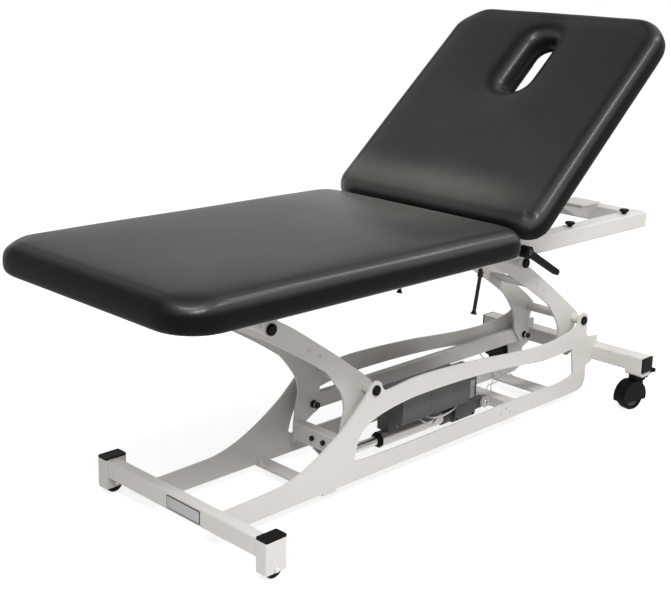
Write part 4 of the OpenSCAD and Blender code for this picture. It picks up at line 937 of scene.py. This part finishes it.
BAR_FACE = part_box("foot_bar")[0].x
rim = slab("foot_plate_rim", (BAR_FACE, PLATE_Y, PLATE_Z), *FACING_FOOT,
           width=0.117, height=0.031, corner=0.002, thick=0.0007)
face = slab("foot_plate_face", (BAR_FACE - FACE_STEP, PLATE_Y, PLATE_Z), *FACING_FOOT,
            width=0.113, height=0.027, corner=0.001, thick=0.0006)
satin = plate_finish("satin_plate", (0.36, 0.36, 0.36), (0.46, 0.46, 0.46), metallic=0.3, rough=0.34)
fit(rim, nylon, "base", "black_plastic")
fit(face, satin, "base", "steel")
GEAR_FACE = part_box("actuator_gearbox")[0].y
film = slab("gearbox_film", (FILM_X, GEAR_FACE, FILM_Z), *FACING_NEAR,
            width=0.050, height=0.050, corner=0.002, thick=0.0005)
pale = plate_finish("pale_film", (0.40, 0.40, 0.39), (0.48, 0.48, 0.47), metallic=0.0, rough=0.42)
fit(film, pale, "actuator", "grey_plastic")
screw_places = [(x, z) for z in SCREW_Z for x in SCREW_X]
for number, (x, z) in enumerate(screw_places, start=1):
    screw = turned(f"cover_screw_{number}", (x, GEAR_FACE, z), (0, -1, 0), SCREW_OUT, SCREW_R, points=24)
    fit(screw, nylon, "actuator", "black_plastic")
print("plates and screws done")

# %% [markdown]
# ## Floor and light
# The photograph is a cut-out on white. The floor is pale and takes the object's shadow, and camera
# rays see it near white. The key lamp hangs high over the camera, so the cushions shade the tops of
# the arms. One over the foot end fills in and lights the cushion's corner. Two narrow ones on the near
# side draw the bright lines along the cushions' shoulders.

# %% Stage
FLOOR_HALF, FLOOR_GLOW, WORLD_LEVEL = 30, 0.78, 0.45


def flat_floor(half):
    corners = [(-half, -half, 0), (half, -half, 0), (half, half, 0), (-half, half, 0)]
    mesh = bpy.data.meshes.new("floor")
    mesh.from_pydata(corners, [], [(0, 1, 2, 3)])
    floor = bpy.data.objects.new("floor", mesh)
    bpy.context.scene.collection.objects.link(floor)
    return floor


def seen_ray(tree):
    """1 for camera, glossy and transmission rays, 0 for the diffuse rays that carry light."""
    path = tree.nodes.new("ShaderNodeLightPath")
    last = path.outputs["Is Camera Ray"]
    for kind in ("Is Glossy Ray", "Is Transmission Ray"):
        most = tree.nodes.new("ShaderNodeMath")
        most.operation = "MAXIMUM"
        tree.links.new(last, most.inputs[0])
        tree.links.new(path.outputs[kind], most.inputs[1])
        last = most.outputs[0]
    return last


def floor_finish():
    """Seen rays get some plain white added to the lit floor, so that only a faint shadow is left."""
    f = Finish("floor_white", Base_Color=(0.52, 0.52, 0.52, 1), Roughness=0.9, Specular_IOR_Level=0.0)
    lit = Wire(f, f.shader.outputs[0])
    glow = f.node("ShaderNodeEmission", {}, {"Color": (1, 1, 1, 1), "Strength": FLOOR_GLOW})
    both = f.node("ShaderNodeAddShader", {}, {0: lit, 1: glow})
    mixed = f.node("ShaderNodeMixShader", {}, {0: Wire(f, seen_ray(f.tree)), 1: lit, 2: both})
    f.tree.links.new(mixed.socket, f.tree.nodes["Material Output"].inputs[0])
    return f.material


def plain_world(level):
    world = bpy.data.worlds.new("world")
    world.use_nodes = True
    tree = world.node_tree
    tree.nodes.clear()
    lit = tree.nodes.new("ShaderNodeBackground")
    seen = tree.nodes.new("ShaderNodeBackground")
    mix = tree.nodes.new("ShaderNodeMixShader")
    out = tree.nodes.new("ShaderNodeOutputWorld")
    lit.inputs["Color"].default_value = (1.0, 0.995, 0.985, 1)
    lit.inputs["Strength"].default_value = level
    seen.inputs["Color"].default_value = (1, 1, 1, 1)
    tree.links.new(seen_ray(tree), mix.inputs[0])
    tree.links.new(lit.outputs[0], mix.inputs[1])
    tree.links.new(seen.outputs[0], mix.inputs[2])
    tree.links.new(mix.outputs[0], out.inputs[0])
    bpy.context.scene.world = world


def lamp(name, place, target, size, watts):
    data = bpy.data.lights.new(name, "AREA")
    data.shape = "RECTANGLE"
    data.size, data.size_y = size
    data.energy = watts
    thing = bpy.data.objects.new(name, data)
    thing.location = place
    thing.rotation_euler = (Vector(target) - Vector(place)).to_track_quat("-Z", "Y").to_euler()
    bpy.context.scene.collection.objects.link(thing)


floor = flat_floor(FLOOR_HALF)
floor.data.materials.append(floor_finish())
plain_world(WORLD_LEVEL)
lamp("key", (-1.9, -2.1, 2.9), (0, 0, 0.3), (1.3, 1.0), 100)
lamp("corner", (-1.4, -0.5, 3.0), (-0.6, -0.1, 0.6), (0.9, 0.6), 22)
lamp("sheen", (1.6, -1.1, 2.7), (-0.4, -0.33, 0.63), (0.3, 1.3), 16)
lamp("edge", (0.65, -2.2, 2.9), (0.42, -0.33, 0.88), (1.2, 0.25), 28)
bpy.context.scene.view_settings.view_transform = "Standard"
print("stage and lamps ready")

# %% [markdown]
# ## The end
# The view layer is brought up to date.

# %% Update
bpy.context.view_layer.update()
